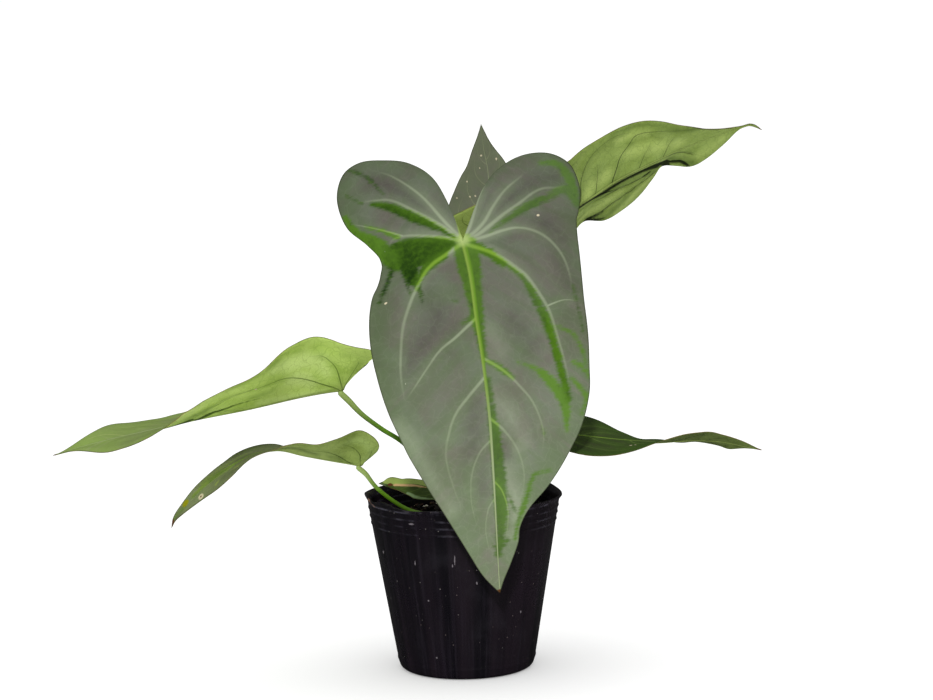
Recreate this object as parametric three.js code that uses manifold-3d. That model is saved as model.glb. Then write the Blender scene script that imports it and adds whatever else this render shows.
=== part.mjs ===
// A potted anthurium hybrid: seven heart-shaped leaves on stalks, a short stem, potting mix and a nursery pot.
// Millimetres, +Z up. The origin is the middle of the pot's flat underside; the front is -Y.
import * as THREE from 'three';
import { mergeVertices, mergeGeometries } from 'three/addons/utils/BufferGeometryUtils.js';
import Module from 'manifold-3d';

const wasm = await Module();
wasm.setup();

// ---------------------------------------------------------------- driving dimensions
const GAP = 0.3;                  // clearance between touching pieces

const POT_HEIGHT = 107;
const POT_FOOT_R = 41.2;          // outer wall radius carried down to the floor plane
const POT_TAPER = 0.169;          // growth of the wall's radius for each mm of height
const POT_WALL = 1.0;
const POT_FLOOR = 1.6;
const FOOT_ROUND = 3.8;           // rounding between wall and underside
const LIP_R = 60.5;               // outer radius of the thin turned-out lip
const LIP_H = 3.2;
const RIBS = [90.8, 95.2, 99.6];  // heights of the fine ribs under the lip
const RIB_H = 0.4;
const LIP_REACH = 13;             // how far down the wall the lip's unevenness reaches
const DRAIN_R = 3.6;              // drain holes
const DRAIN_RING = 23;
const DRAINS = 6;
const POT_SIDES = 56;

const SOIL_TOP = 91;
const SOIL_BUMP = 1.3;
const CROWN_R = 9;
const CROWN_FOOT = 84;
const CROWN_TOP = 93;

const BLADE = 0.8;                // thickness of a blade

// ---------------------------------------------------------------- curves
// Point on a smooth curve through points of any dimension, t from 0 to count - 1.
function curvePoint(points, t) {
  const n = points.length;
  const u = Math.min(Math.max(t, 0), n - 1);
  const i = Math.min(Math.floor(u), n - 2);
  const w = u - i;
  const p0 = points[Math.max(i - 1, 0)];
  const p1 = points[i];
  const p2 = points[i + 1];
  const p3 = points[Math.min(i + 2, n - 1)];
  return p1.map((v, k) => {
    const v0 = (p2[k] - p0[k]) / 2;
    const v1 = (p3[k] - p1[k]) / 2;
    return (2 * v - 2 * p2[k] + v0 + v1) * w ** 3 + (-3 * v + 3 * p2[k] - 2 * v0 - v1) * w ** 2 + v0 * w + v;
  });
}

// Smooth values through keys [place, value, ...], held past both ends.
function keyed(keys, place) {
  const n = keys.length;
  const s = Math.min(Math.max(place, keys[0][0]), keys[n - 1][0]);
  let i = 0;
  while (i < n - 2 && s >= keys[i + 1][0]) i += 1;
  const slope = (j, k) => (keys[j + 1][k] - keys[j][k]) / (keys[j + 1][0] - keys[j][0]);
  const tangent = (j, k) => {
    if (j === 0) return slope(0, k);
    if (j === n - 1) return slope(n - 2, k);
    return (slope(j - 1, k) + slope(j, k)) / 2;
  };
  const h = keys[i + 1][0] - keys[i][0];
  const u = (s - keys[i][0]) / h;
  return keys[i].slice(1).map((a, m) => {
    const k = m + 1;
    const b = keys[i + 1][k];
    return a * (2 * u ** 3 - 3 * u ** 2 + 1) + b * (3 * u ** 2 - 2 * u ** 3)
      + h * tangent(i, k) * (u ** 3 - 2 * u ** 2 + u) + h * tangent(i + 1, k) * (u ** 3 - u ** 2);
  });
}

function solid(positions, indices) {
  const g = new THREE.BufferGeometry();
  g.setAttribute('position', new THREE.Float32BufferAttribute(positions, 3));
  g.setIndex(indices);
  return g;
}

// ---------------------------------------------------------------- leaves
// Half outlines run from the sinus corner round the lobe to the tip, as [across, along] in shares of the midrib.
const HEART = [[0, 0], [0.03, -0.06], [0.07, -0.15], [0.13, -0.225], [0.20, -0.25], [0.265, -0.22], [0.30, -0.15],
  [0.31, -0.06], [0.30, 0.03], [0.295, 0.13], [0.30, 0.24], [0.29, 0.36], [0.26, 0.48], [0.215, 0.6], [0.16, 0.70],
  [0.105, 0.79], [0.06, 0.87], [0.025, 0.94], [0, 1]];
const FRONT_LEFT = [[0, 0], [0.018, -0.117], [0.046, -0.201], [0.102, -0.256], [0.17, -0.281], [0.235, -0.291],
  [0.29, -0.267], [0.321, -0.2], [0.31, -0.113], [0.265, -0.047], [0.237, 0.006], [0.248, 0.05], [0.284, 0.14],
  [0.302, 0.24], [0.299, 0.345], [0.279, 0.458], [0.241, 0.573], [0.19, 0.677], [0.138, 0.773], [0.086, 0.87],
  [0.045, 0.945], [0, 1]];
const FRONT_RIGHT = [[0, 0], [0.031, -0.04], [0.054, -0.085], [0.087, -0.135], [0.133, -0.175], [0.19, -0.2],
  [0.248, -0.205], [0.301, -0.19], [0.342, -0.15], [0.354, -0.09], [0.344, -0.04], [0.32, 0.025], [0.308, 0.1],
  [0.303, 0.19], [0.3, 0.3], [0.291, 0.39], [0.281, 0.465], [0.25, 0.547], [0.203, 0.627], [0.152, 0.698],
  [0.095, 0.76], [0.067, 0.81], [0.059, 0.855], [0.035, 0.915], [0.012, 0.965], [0, 1]];
const LEFT_UPPER = [[0, 0], [0.06, -0.035], [0.11, -0.07], [0.16, -0.11], [0.195, -0.125], [0.21, -0.10],
  [0.215, -0.05], [0.235, 0.02], [0.265, 0.09], [0.28, 0.15], [0.285, 0.22], [0.275, 0.30], [0.265, 0.38],
  [0.25, 0.48], [0.215, 0.6], [0.16, 0.70], [0.115, 0.79], [0.065, 0.87], [0.025, 0.94], [0, 1]];
const LEFT_LOWER = [[0, 0], [0.05, -0.025], [0.09, -0.04], [0.13, -0.05], [0.17, -0.045], [0.20, -0.02],
  [0.217, 0.02], [0.225, 0.06], [0.22, 0.12], [0.222, 0.2], [0.222, 0.32], [0.213, 0.39], [0.196, 0.475],
  [0.162, 0.573], [0.12, 0.646], [0.083, 0.732], [0.055, 0.822], [0.032, 0.9], [0.017, 0.955], [0, 1]];
const LEFT_LOWER_NEAR = [[0, 0], [0.05, -0.025], [0.09, -0.04], [0.13, -0.05], [0.17, -0.045], [0.20, -0.02],
  [0.217, 0.02], [0.225, 0.06], [0.22, 0.12], [0.222, 0.2], [0.222, 0.32], [0.213, 0.39], [0.185, 0.475],
  [0.138, 0.573], [0.104, 0.646], [0.074, 0.732], [0.052, 0.822], [0.034, 0.9], [0.018, 0.955], [0, 1]];
const RIGHT_UPPER_FAR = [[0, 0], [0.028, -0.06], [0.066, -0.15], [0.123, -0.225], [0.19, -0.25], [0.252, -0.22],
  [0.285, -0.15], [0.294, -0.06], [0.285, 0.03], [0.28, 0.13], [0.285, 0.24], [0.275, 0.36], [0.247, 0.48],
  [0.204, 0.6], [0.152, 0.70], [0.122, 0.75], [0.09, 0.806], [0.037, 0.873], [0.01, 0.915], [0.008, 0.96], [0, 1]];
const RIGHT_UPPER_NEAR = [[0, 0], [0.027, -0.04], [0.06, -0.09], [0.11, -0.12], [0.165, -0.115], [0.21, -0.08],
  [0.235, -0.02], [0.245, 0.05], [0.252, 0.13], [0.268, 0.24], [0.261, 0.36], [0.234, 0.48], [0.193, 0.6],
  [0.144, 0.70], [0.097, 0.771], [0.066, 0.823], [0.045, 0.865], [0.018, 0.903], [0.008, 0.925], [0.007, 0.965], [0, 1]];
const SMALL_FAR = [[0, 0], [0.028, -0.06], [0.066, -0.15], [0.123, -0.225], [0.19, -0.25], [0.252, -0.22],
  [0.285, -0.15], [0.294, -0.06], [0.285, 0.03], [0.28, 0.13], [0.285, 0.24], [0.275, 0.36], [0.247, 0.48],
  [0.204, 0.6], [0.165, 0.69], [0.145, 0.77], [0.13, 0.84], [0.10, 0.905], [0.05, 0.96], [0, 1]];
const RIGHT_LOWER = [[0, 0], [0.03, -0.05], [0.07, -0.115], [0.12, -0.15], [0.18, -0.15], [0.235, -0.11],
  [0.27, -0.04], [0.285, 0.04], [0.29, 0.12], [0.283, 0.2], [0.272, 0.27], [0.256, 0.35], [0.237, 0.43],
  [0.205, 0.52], [0.163, 0.62], [0.128, 0.70], [0.10, 0.75], [0.074, 0.81], [0.054, 0.86], [0.031, 0.92], [0, 1]];
const wide = (k) => HEART.map(([x, s]) => [x * k, s]);

// spine: the midrib from the stalk to the tip. face: where the upper side looks, as [place, x, y, z].
// fold and curl: [place, left, right], degrees a half rises from the midrib's plane and turns further to its margin.
// ruffle: [height in mm, length in mm, phase, side] waves of the margin. rows: [lobe, body]. back: where the lobe rows end.
const LEAVES = {
  front: {
    spine: [[3.4, -46, 265.3], [7.6, -54, 245.3], [10.5, -60, 219.4], [13.5, -64, 196.3], [16.3, -68, 167.4],
      [17.5, -70, 144.1], [18.6, -70, 114.6], [19.7, -69, 78.8], [20.4, -67, 58.6]],
    face: [[-0.3, 0, -1, 0.1], [0, 0, -1, 0.2], [0.5, 0, -1, 0.1], [1, 0, -1, 0]],
    left: FRONT_LEFT, right: FRONT_RIGHT, width: 0.32,
    fold: [[-0.3, 4, 4], [0.3, 3, 3], [1, 6, 6]],
    curl: [[-0.3, -14, -14], [0, -10, -10], [0.5, -8, -8], [1, 5, 5]],
    ruffle: [[1.2, 44, 0.6, 1], [1.0, 52, 2.2, -1]],
    keel: 1.1, back: 0.1, rows: [11, 20], across: [0, 0.06, 0.3, 0.55, 0.8, 1], colour: 0x55703f,
  },
  left_upper: {
    spine: [[-71.3, -20, 176.1], [-96.4, -24, 172.2], [-126.3, -28, 166.3], [-152.9, -32, 162],
      [-165.3, -34, 159.7], [-180.1, -36, 156.2], [-205.6, -38, 151.2], [-227.3, -38, 146], [-243.8, -36, 141.6]],
    face: [[-0.25, 0, 0, 1], [1, 0, 0, 1]],
    left: LEFT_UPPER, right: LEFT_UPPER, width: 0.285,
    fold: [[-0.11, 15, 39], [-0.03, 22, 48], [0.05, 28, 56], [0.15, 24, 46], [0.25, 13, 32], [0.40, 4, 25],
      [0.52, -1, 17], [0.60, 1, 8], [0.66, 4, 1], [0.74, 11, -8], [0.83, 27, -15], [0.92, 36, -2], [1, 34, 5]],
    keel: 0.9, back: 0.06, rows: [8, 18], across: [0, 0.08, 0.36, 0.68, 1], colour: 0x8aa85c,
  },
  left_lower: {
    spine: [[-61.4, -15, 129.1], [-76.9, -18, 132], [-94.8, -20, 135.9], [-110.8, -22, 139.8], [-126.3, -24, 137],
      [-140.9, -25, 128.6], [-155.1, -25, 118], [-168.2, -24, 105.9], [-174.2, -23, 99.3], [-176.4, -22, 93.6]],
    face: [[-0.25, 0, 0, 1], [0.45, 0, 0, 1], [0.6, 0.3, -0.1, 1], [0.8, -0.66, -0.39, 0.65], [1, -0.72, -0.5, 0.5]],
    left: LEFT_LOWER, right: LEFT_LOWER_NEAR, width: 0.225,
    fold: [[-0.09, 15, 36], [0, 23, 46], [0.06, 22, 47], [0.15, 9, 31], [0.22, 3, 21], [0.32, -1, 17], [0.39, 0, 9],
      [0.5, 1, 7], [0.57, 1, 4], [0.65, 1, -3], [0.73, 3, -8], [0.82, 9, -4], [0.92, 10, 4], [1, 8, 5]],
    keel: 0.8, back: 0.02, rows: [6, 18], across: [0, 0.08, 0.36, 0.68, 1], colour: 0x6f8a4c,
  },
  right_upper: {
    spine: [[40.4, 8, 258.9], [55.4, 12, 268.6], [74.8, 18, 280.1], [98.7, 26, 295], [130.5, 36, 309.3],
      [151.5, 42, 317.2], [177.6, 48, 325.1], [184.6, 49, 326.2], [190.9, 50, 322.9]],
    face: [[-0.25, 0, 0.9, 0.45], [0, 0, 0.88, 0.5], [0.3, 0, 0.68, 0.73], [0.7, 0, 0.55, 0.83], [1, 0, 0.5, 0.85]],
    left: RIGHT_UPPER_FAR, right: RIGHT_UPPER_NEAR, width: 0.28,
    fold: [[-0.2, -6, 14], [-0.14, -14, 20], [0.05, -21, 26], [0.22, -11, 26], [0.3, -5, 26], [0.36, -1, 13], [0.46, 7, 5],
      [0.54, 9, 6], [0.60, 5, 12], [0.645, -1, 18], [0.69, -5, 6], [0.72, -8, -7], [0.75, -11, -16], [0.83, -16, -25],
      [0.93, -12, -6], [1, -5, -2]],
    keel: 0.9, back: 0.1, rows: [9, 20], across: [0, 0.07, 0.34, 0.67, 1], colour: 0x92b062,
  },
  right_lower: {
    spine: [[50.1, -20, 146.6], [72.9, -22, 143.9], [95, -24, 141.3], [115.8, -26, 139.9], [136.7, -28, 141],
      [154.6, -29, 140.1], [169.4, -30, 136.9], [179.5, -30, 134.2]],
    face: [[-0.25, 0, -0.2, 1], [0, 0, -0.2, 1], [0.22, 0, -0.2, 1], [0.52, 0, 0.12, 1], [0.70, 0, 0.4, 1], [1, 0, 0.4, 1]],
    left: RIGHT_LOWER, right: RIGHT_LOWER, width: 0.29,
    fold: [[-0.15, 12, 10], [0, 10, 4], [0.13, 6, -1], [0.24, 2, -3], [0.35, -1, -6], [0.43, -1, -6], [0.52, 1, 1],
      [0.63, 0, 5], [0.70, 2, 10], [0.76, 9, 6], [0.81, 9, -3], [0.86, 13, -20], [0.92, 21, -8], [1, 16, 8]],
    keel: 0.8, back: 0.08, rows: [8, 18], across: [0, 0.08, 0.36, 0.68, 1], colour: 0x4c6434,
  },
  back: {
    spine: [[12.4, 42, 245.3], [17.9, 52, 263.2], [20.3, 60, 282.7], [20.1, 66, 300], [17.9, 70, 313.8], [16.4, 74, 330.1]],
    face: [[-0.25, 0, -0.85, 0.5], [1, 0, -0.85, 0.5]],
    left: wide(0.83), right: wide(0.97), width: 0.28,
    fold: [[-0.2, 18, 8], [0.4, 28, 8], [0.7, 27, 8], [0.76, 22, 6], [0.8, 16, 4], [0.87, 30, 6], [1, 30, 8]],
    keel: 0.7, back: 0.1, rows: [7, 13], across: [0, 0.1, 0.4, 0.7, 1], colour: 0x46602f,
  },
  small: {
    spine: [[-10.7, 18, 105.5], [-20.6, 21, 106.4], [-29.9, 24, 108], [-39.3, 25, 108.3], [-46.8, 26, 108.6], [-52.6, 26, 109.8]],
    face: [[-0.25, 0, -0.3, 0.9], [1, 0, -0.3, 0.9]],
    left: SMALL_FAR, right: wide(0.9), width: 0.28,
    fold: [[-0.2, 2, 0], [0.13, 0, -5], [0.28, -4, -11], [0.44, -7, -16], [0.6, 3, -10], [0.69, 10, 0], [0.76, 28, 2],
      [0.83, 50, 2], [0.88, 48, 2], [0.94, 12, 2], [1, 4, 2]],
    keel: 0.3, back: 0.1, rows: [7, 14], across: [0, 0.12, 0.55, 1], colour: 0x7c9a52,
  },
};

// The midrib as a table of places with their point and direction, and the blade's length along it.
function midrib(leaf) {
  const steps = 400;
  const table = [];
  let length = 0;
  let last = null;
  for (let i = 0; i <= steps; i += 1) {
    const p = new THREE.Vector3(...curvePoint(leaf.spine, (i / steps) * (leaf.spine.length - 1)));
    if (last) length += p.distanceTo(last);
    table.push({ p, s: length });
    last = p;
  }
  for (let i = 0; i <= steps; i += 1) {
    const a = table[Math.max(i - 1, 0)];
    const b = table[Math.min(i + 1, steps)];
    table[i].t = b.p.clone().sub(a.p).normalize();
  }
  const at = (s) => {
    const c = Math.min(Math.max(s, 0), length);
    let k = 0;
    while (k < steps - 1 && table[k + 1].s < c) k += 1;
    const w = (c - table[k].s) / (table[k + 1].s - table[k].s);
    return {
      p: table[k].p.clone().lerp(table[k + 1].p, w),
      t: table[k].t.clone().lerp(table[k + 1].t, w).normalize(),
    };
  };
  return { length, at };
}

// The blade's frame at a place along the midrib; the lobes run straight back from the sinus corner.
function frameAt(leaf, rib, s) {
  const { p, t } = rib.at(s);
  p.addScaledVector(t, Math.min(s, 0));
  const n = new THREE.Vector3(...keyed(leaf.face, s / rib.length));
  n.addScaledVector(t, -n.dot(t)).normalize();
  return { p, t, n, b: n.clone().cross(t) };
}

// A point of the blade's middle surface, x to the right of the midrib and s along it, in mm.
function bladePoint(leaf, rib, x, s) {
  const { p, n, b } = frameAt(leaf, rib, s);
  const right = x > 0 ? 1 : 0;
  const place = s / rib.length;
  const half = leaf.width * rib.length;
  const fold = THREE.MathUtils.degToRad(keyed(leaf.fold, place)[right]);
  const curl = leaf.curl ? THREE.MathUtils.degToRad(keyed(leaf.curl, place)[right]) : 0;
  const a = Math.abs(x);
  const q = Math.abs(curl) < 1e-4 ? 1e-6 : curl / half;
  const out = (Math.sin(fold + q * a) - Math.sin(fold)) / q;
  let rise = -(Math.cos(fold + q * a) - Math.cos(fold)) / q;
  for (const [height, long, phase, side] of leaf.ruffle || []) {
    if (side === (right ? 1 : -1)) rise += height * (a / half) ** 2 * Math.sin((2 * Math.PI * s) / long + phase);
  }
  return p.addScaledVector(b, right ? out : -out).addScaledVector(n, rise);
}

// One half of the blade as rows of [x, s]: the lobe's rows start at the sinus corner, the body's along the midrib.
function halfRows(leaf, rib, side) {
  const outline = side < 0 ? leaf.left : leaf.right;
  const last = outline.length - 1;
  const fine = [];
  for (let i = 0; i <= 600; i += 1) fine.push(curvePoint(outline, (i / 600) * last));
  let lowest = 0;
  fine.forEach((e, i) => { if (e[1] < fine[lowest][1]) lowest = i; });
  const edgeAt = (along) => {
    let k = lowest;
    while (k < 600 && fine[k][1] < along) k += 1;
    return k;
  };
  const [lobe, body] = leaf.rows;
  const split = edgeAt(-leaf.back);
  const dist = [0];
  for (let i = 1; i <= split; i += 1) dist.push(dist[i - 1] + Math.hypot(fine[i][0] - fine[i - 1][0], fine[i][1] - fine[i - 1][1]));
  // the lobe's rows fan out from the sinus corner, so each turns on from its neighbour
  let turn = Math.atan2(-fine[split][1], fine[split][0]);
  for (let k = split - 1; k > 0; k -= 1) {
    const r = Math.hypot(fine[k][0], fine[k][1]);
    turn = Math.max(turn + 2e-4, Math.atan2(-fine[k][1], fine[k][0]));
    fine[k] = [r * Math.cos(turn), -r * Math.sin(turn)];
  }
  const rows = [];
  for (let i = 1; i <= lobe; i += 1) {
    let k = 0;
    while (k < split && dist[k] < (dist[split] * i) / lobe) k += 1;
    rows.push({ start: 0, edge: fine[k] });
  }
  for (let j = 1; j < body; j += 1) {
    const start = j / body;
    rows.push({ start, edge: fine[edgeAt(start * (1 + leaf.back) - leaf.back)] });
  }
  const inLobe = leaf.across.map((w, c) => (c === 1 ? Math.max(w, 0.6 * leaf.across[2]) : w));
  return rows.map(({ start, edge }) => (start === 0 ? inLobe : leaf.across).map((w) => [
    side * edge[0] * w * rib.length,
    (start * (1 - w) + edge[1] * w) * rib.length,
  ]));
}

// A blade: the same triangles on the upper and the lower side, a strip round the margin and a keel under the midrib.
function bladeGeometry(leaf) {
  const rib = midrib(leaf);
  const points = [];
  const keels = [];
  const add = (x, s, keel) => {
    points.push(bladePoint(leaf, rib, x, s));
    keels.push(keel * (1 - 0.75 * Math.min(Math.max(s / rib.length, 0), 1)));
    return points.length - 1;
  };
  const joint = add(0, 0, leaf.keel * 0.5);
  const tip = add(0, rib.length, 0);
  const [, body] = leaf.rows;
  const mid = [joint];
  for (let j = 1; j < body; j += 1) mid.push(add(0, (j / body) * rib.length, leaf.keel));
  const triangles = [];
  const rims = {};
  for (const side of [-1, 1]) {
    const rows = halfRows(leaf, rib, side);
    const lobe = leaf.rows[0];
    const ids = rows.map((row, i) => row.map(([x, s], c) => {
      if (c === 0) return i < lobe ? joint : mid[i - lobe + 1];
      return add(x, s, 0);
    }));
    const put = (a, b, c) => {
      if (a !== b && b !== c && a !== c) triangles.push(side > 0 ? [a, b, c] : [a, c, b]);
    };
    for (let i = 0; i + 1 < ids.length; i += 1) {
      for (let c = 0; c + 1 < leaf.across.length; c += 1) {
        const [p, q, r, t] = [ids[i][c], ids[i][c + 1], ids[i + 1][c + 1], ids[i + 1][c]];
        put(p, q, r);
        put(p, r, t);
      }
    }
    const end = ids[ids.length - 1];
    for (let c = 0; c + 1 < leaf.across.length; c += 1) put(end[c], end[c + 1], tip);
    rims[side] = [...ids[0].slice(1), ...ids.slice(1).map((row) => row[row.length - 1])];
  }
  // normals of the middle surface
  const normals = points.map(() => new THREE.Vector3());
  for (const [a, b, c] of triangles) {
    const n = points[b].clone().sub(points[a]).cross(points[c].clone().sub(points[a]));
    for (const k of [a, b, c]) normals[k].add(n);
  }
  normals.forEach((n) => n.normalize());
  const face = frameAt(leaf, rib, rib.length / 2).n;
  const up = normals[mid[Math.floor(body / 2)]].dot(face) > 0 ? 1 : -1;
  const flat = [];
  points.forEach((p, i) => {
    const rise = BLADE / 2 + (up > 0 ? 0 : keels[i]);
    flat.push(...p.clone().addScaledVector(normals[i], rise).toArray());
  });
  points.forEach((p, i) => {
    const drop = BLADE / 2 + (up > 0 ? keels[i] : 0);
    flat.push(...p.clone().addScaledVector(normals[i], -drop).toArray());
  });
  const n = points.length;
  const faces = [];
  for (const [a, b, c] of triangles) faces.push(a, b, c, a + n, c + n, b + n);
  // the margin, once round: up the left half to the tip and back down the right half
  const loop = [joint, ...rims[-1], tip, ...rims[1].slice().reverse()];
  for (let i = 0; i < loop.length; i += 1) {
    const a = loop[i];
    const b = loop[(i + 1) % loop.length];
    faces.push(a, b, b + n, a, b + n, a + n);
  }
  return outward(solid(flat, faces));
}

// Turns all faces over where the enclosed volume comes out negative.
function outward(geometry) {
  const p = geometry.getAttribute('position');
  const index = geometry.getIndex();
  const a = new THREE.Vector3();
  const b = new THREE.Vector3();
  const c = new THREE.Vector3();
  let volume = 0;
  for (let i = 0; i < index.count; i += 3) {
    a.fromBufferAttribute(p, index.getX(i));
    b.fromBufferAttribute(p, index.getX(i + 1));
    c.fromBufferAttribute(p, index.getX(i + 2));
    volume += a.dot(b.cross(c));
  }
  if (volume < 0) {
    for (let i = 0; i < index.count; i += 3) {
      const k = index.getX(i + 1);
      index.setX(i + 1, index.getX(i + 2));
      index.setX(i + 2, k);
    }
  }
  return geometry;
}

// ---------------------------------------------------------------- stalks
// path: centre line from the stem to the blade. thick: [share of the way, radius].
const STALKS = {
  front: {
    path: [[-1.1, -6.1, 93.3], [-1.1, -6.7, 99], [-0.9, -8.3, 111], [-0.6, -11, 130], [0, -17, 175], [0.6, -24, 218], [2, -31.5, 250],
      [3, -38, 261.5]],
    thick: [[0, 2.5], [0.05, 2.4], [0.3, 2.1], [0.85, 1.9], [0.95, 2.4], [1, 2.2]],
  },
  left_upper: {
    path: [[-5.6, 2.6, 93.3], [-6.8, 2.3, 98.2], [-9.6, 0.7, 105.2], [-14, -2, 114], [-26, -7, 130], [-37, -10, 141.6], [-48.1, -13, 149.5],
      [-59.8, -16, 159.2], [-67.5, -18.5, 168]],
    thick: [[0, 2.5], [0.1, 2.1], [0.3, 1.6], [0.75, 1.5], [0.9, 1.85], [1, 1.8]],
  },
  left_lower: {
    path: [[-5.4, -3.1, 93.3], [-6.3, -3.4, 94.9], [-9.8, -4.7, 95.7], [-18, -7, 95.2], [-31.4, -9, 98.2], [-42.6, -11, 105], [-52.6, -13, 114],
      [-58.6, -14.6, 122.5]],
    thick: [[0, 1.7], [0.08, 1.7], [0.3, 1.4], [0.8, 1.35], [0.93, 1.6], [1, 1.5]],
  },
  right_upper: {
    path: [[6.1, 1.1, 93.3], [6.4, 0.9, 99], [7.3, -0.5, 113], [10, -4, 140], [17, -9, 185], [27, -10.5, 225], [36, -4, 248]],
    thick: [[0, 2.5], [0.05, 2.2], [0.3, 1.8], [0.85, 1.7], [0.95, 2.1], [1, 1.9]],
  },
  right_lower: {
    path: [[4.4, -4.4, 93.3], [5.4, -4.9, 96.6], [8.6, -6.6, 100.3], [14, -9, 104], [27, -14, 115], [38, -18, 127], [44.5, -19.5, 136]],
    thick: [[0, 2.1], [0.1, 2.0], [0.3, 1.6], [0.8, 1.5], [0.93, 1.85], [1, 1.7]],
  },
  back: {
    path: [[3.1, 5.4, 93.3], [3.2, 6.5, 99.5], [3.4, 9.5, 115], [4, 21, 150], [6.5, 34, 200], [9.5, 42.5, 228], [11.3, 45.5, 239]],
    thick: [[0, 2.3], [0.05, 1.9], [0.3, 1.5], [0.88, 1.35], [0.95, 1.6], [1, 1.5]],
  },
  small: {
    path: [[-1.6, 6, 93.3], [-2.4, 7.6, 96.5], [-5.2, 12, 99.5], [-8.6, 15.6, 101.6]],
    thick: [[0, 1.7], [0.3, 1.3], [1, 1.1]],
  },
};

// A stalk runs on to a round end just under the blade's keel, a little way along the midrib.
function stalkGeometry(name) {
  const leaf = LEAVES[name];
  const { path, thick } = STALKS[name];
  const rib = midrib(leaf);
  const place = frameAt(leaf, rib, 1.2);
  const endR = thick[thick.length - 1][1];
  const end = place.p.addScaledVector(place.n, -(BLADE / 2 + leaf.keel * 0.62 + GAP + 0.1 + endR));
  const centres = [...path, end.toArray()];
  const sides = 9;
  const rings = Math.max(10, Math.round(centres.length * 2.6));
  const positions = [];
  const faces = [];
  const spine = [];
  for (let i = 0; i <= rings; i += 1) spine.push(new THREE.Vector3(...curvePoint(centres, (i / rings) * (centres.length - 1))));
  let side = new THREE.Vector3(1, 0, 0);
  const ring = (centre, dir, r) => {
    side = side.clone().addScaledVector(dir, -side.dot(dir)).normalize();
    const other = dir.clone().cross(side);
    for (let k = 0; k < sides; k += 1) {
      const a = (k / sides) * 2 * Math.PI;
      const p = centre.clone().addScaledVector(side, r * Math.cos(a)).addScaledVector(other, r * Math.sin(a));
      positions.push(p.x, p.y, p.z);
    }
  };
  const dirs = spine.map((p, i) => spine[Math.min(i + 1, rings)].clone().sub(spine[Math.max(i - 1, 0)]).normalize());
  dirs[0].set(0, 0, 1);
  spine.forEach((p, i) => ring(p, dirs[i], keyed(thick, i / rings)[0]));
  ring(spine[rings].clone().addScaledVector(dirs[rings], endR * 0.6), dirs[rings], endR * 0.8);
  const count = rings + 2;
  for (let i = 0; i + 1 < count; i += 1) {
    for (let k = 0; k < sides; k += 1) {
      const m = (k + 1) % sides;
      const [a, b, c, d] = [i * sides + k, i * sides + m, (i + 1) * sides + m, (i + 1) * sides + k];
      faces.push(a, b, c, a, c, d);
    }
  }
  const foot = positions.length / 3;
  positions.push(...spine[0].toArray());
  positions.push(...spine[rings].clone().addScaledVector(dirs[rings], endR).toArray());
  for (let k = 0; k < sides; k += 1) {
    const m = (k + 1) % sides;
    faces.push(foot, m, k);
    faces.push(foot + 1, (count - 1) * sides + k, (count - 1) * sides + m);
  }
  return outward(solid(positions, faces));
}

// ---------------------------------------------------------------- pot, soil, stem and bracts
const wallR = (z) => POT_FOOT_R + POT_TAPER * z;

// The thin lip isn't flat: [degrees round the pot, rise in mm], with a kink at the front left.
const LIP_WAVE = [[0, -0.9], [15, -0.4], [28, 0.8], [60, 0.5], [100, -0.6], [135, 0], [155, 0.4], [170, 0.9], [187, 2.1],
  [198, 0.9], [206, 0.2], [217, 1.9], [227, -0.1], [237, -1.2], [256, -0.3], [285, 0.5], [312, 0], [340, -0.2], [360, -0.9]];

function warp(angle, z) {
  const k = THREE.MathUtils.smoothstep(z, POT_HEIGHT - LIP_REACH, POT_HEIGHT);
  return k * keyed(LIP_WAVE, THREE.MathUtils.radToDeg(angle))[0];
}

function potProfile() {
  const out = [];
  out.push([0, 0], [wallR(0) - FOOT_ROUND, 0]);
  for (let i = 1; i <= 4; i += 1) {
    const a = (i / 4) * (Math.PI / 2 - 0.15);
    out.push([wallR(0) - FOOT_ROUND + FOOT_ROUND * Math.sin(a) + 0.3, FOOT_ROUND * (1 - Math.cos(a))]);
  }
  for (const z of RIBS) {
    out.push([wallR(z - 0.9), z - 0.9], [wallR(z) + RIB_H, z], [wallR(z + 0.9), z + 0.9]);
  }
  const lipZ = POT_HEIGHT - LIP_H;
  out.push([wallR(lipZ), lipZ], [LIP_R - 0.8, POT_HEIGHT - 1.9], [LIP_R - 0.2, POT_HEIGHT - 1.2], [LIP_R, POT_HEIGHT - 0.6],
    [LIP_R - 0.2, POT_HEIGHT - 0.1], [LIP_R - 0.7, POT_HEIGHT], [LIP_R - 1.5, POT_HEIGHT - 0.7]);
  out.push([wallR(POT_HEIGHT - 5) - POT_WALL, POT_HEIGHT - 5]);
  out.push([wallR(SOIL_TOP) - POT_WALL, SOIL_TOP], [wallR(10) - POT_WALL, 10]);
  out.push([wallR(POT_FLOOR) - POT_WALL - 3.2, POT_FLOOR + 0.9], [wallR(POT_FLOOR) - POT_WALL - 6, POT_FLOOR], [0, POT_FLOOR]);
  return out;
}

// A turned shell from a profile that starts and ends on the axis, with heights shifted by a rule of the angle.
function turned(profile, sides, shift) {
  const positions = [];
  const faces = [];
  const rings = profile.map(([r, z]) => {
    const first = positions.length / 3;
    if (r === 0) {
      positions.push(0, 0, z);
      return { first, count: 1 };
    }
    for (let k = 0; k < sides; k += 1) {
      const a = (k / sides) * 2 * Math.PI;
      positions.push(r * Math.cos(a), r * Math.sin(a), z + (shift ? shift(a, z, r) : 0));
    }
    return { first, count: sides };
  });
  for (let i = 0; i + 1 < rings.length; i += 1) {
    const [p, q] = [rings[i], rings[i + 1]];
    for (let k = 0; k < sides; k += 1) {
      const m = (k + 1) % sides;
      if (p.count > 1) faces.push(p.first + k, q.count > 1 ? q.first + m : q.first, p.first + m);
      if (q.count > 1) faces.push(p.count > 1 ? p.first + k : p.first, q.first + k, q.first + m);
    }
  }
  return outward(solid(positions, faces));
}

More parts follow.
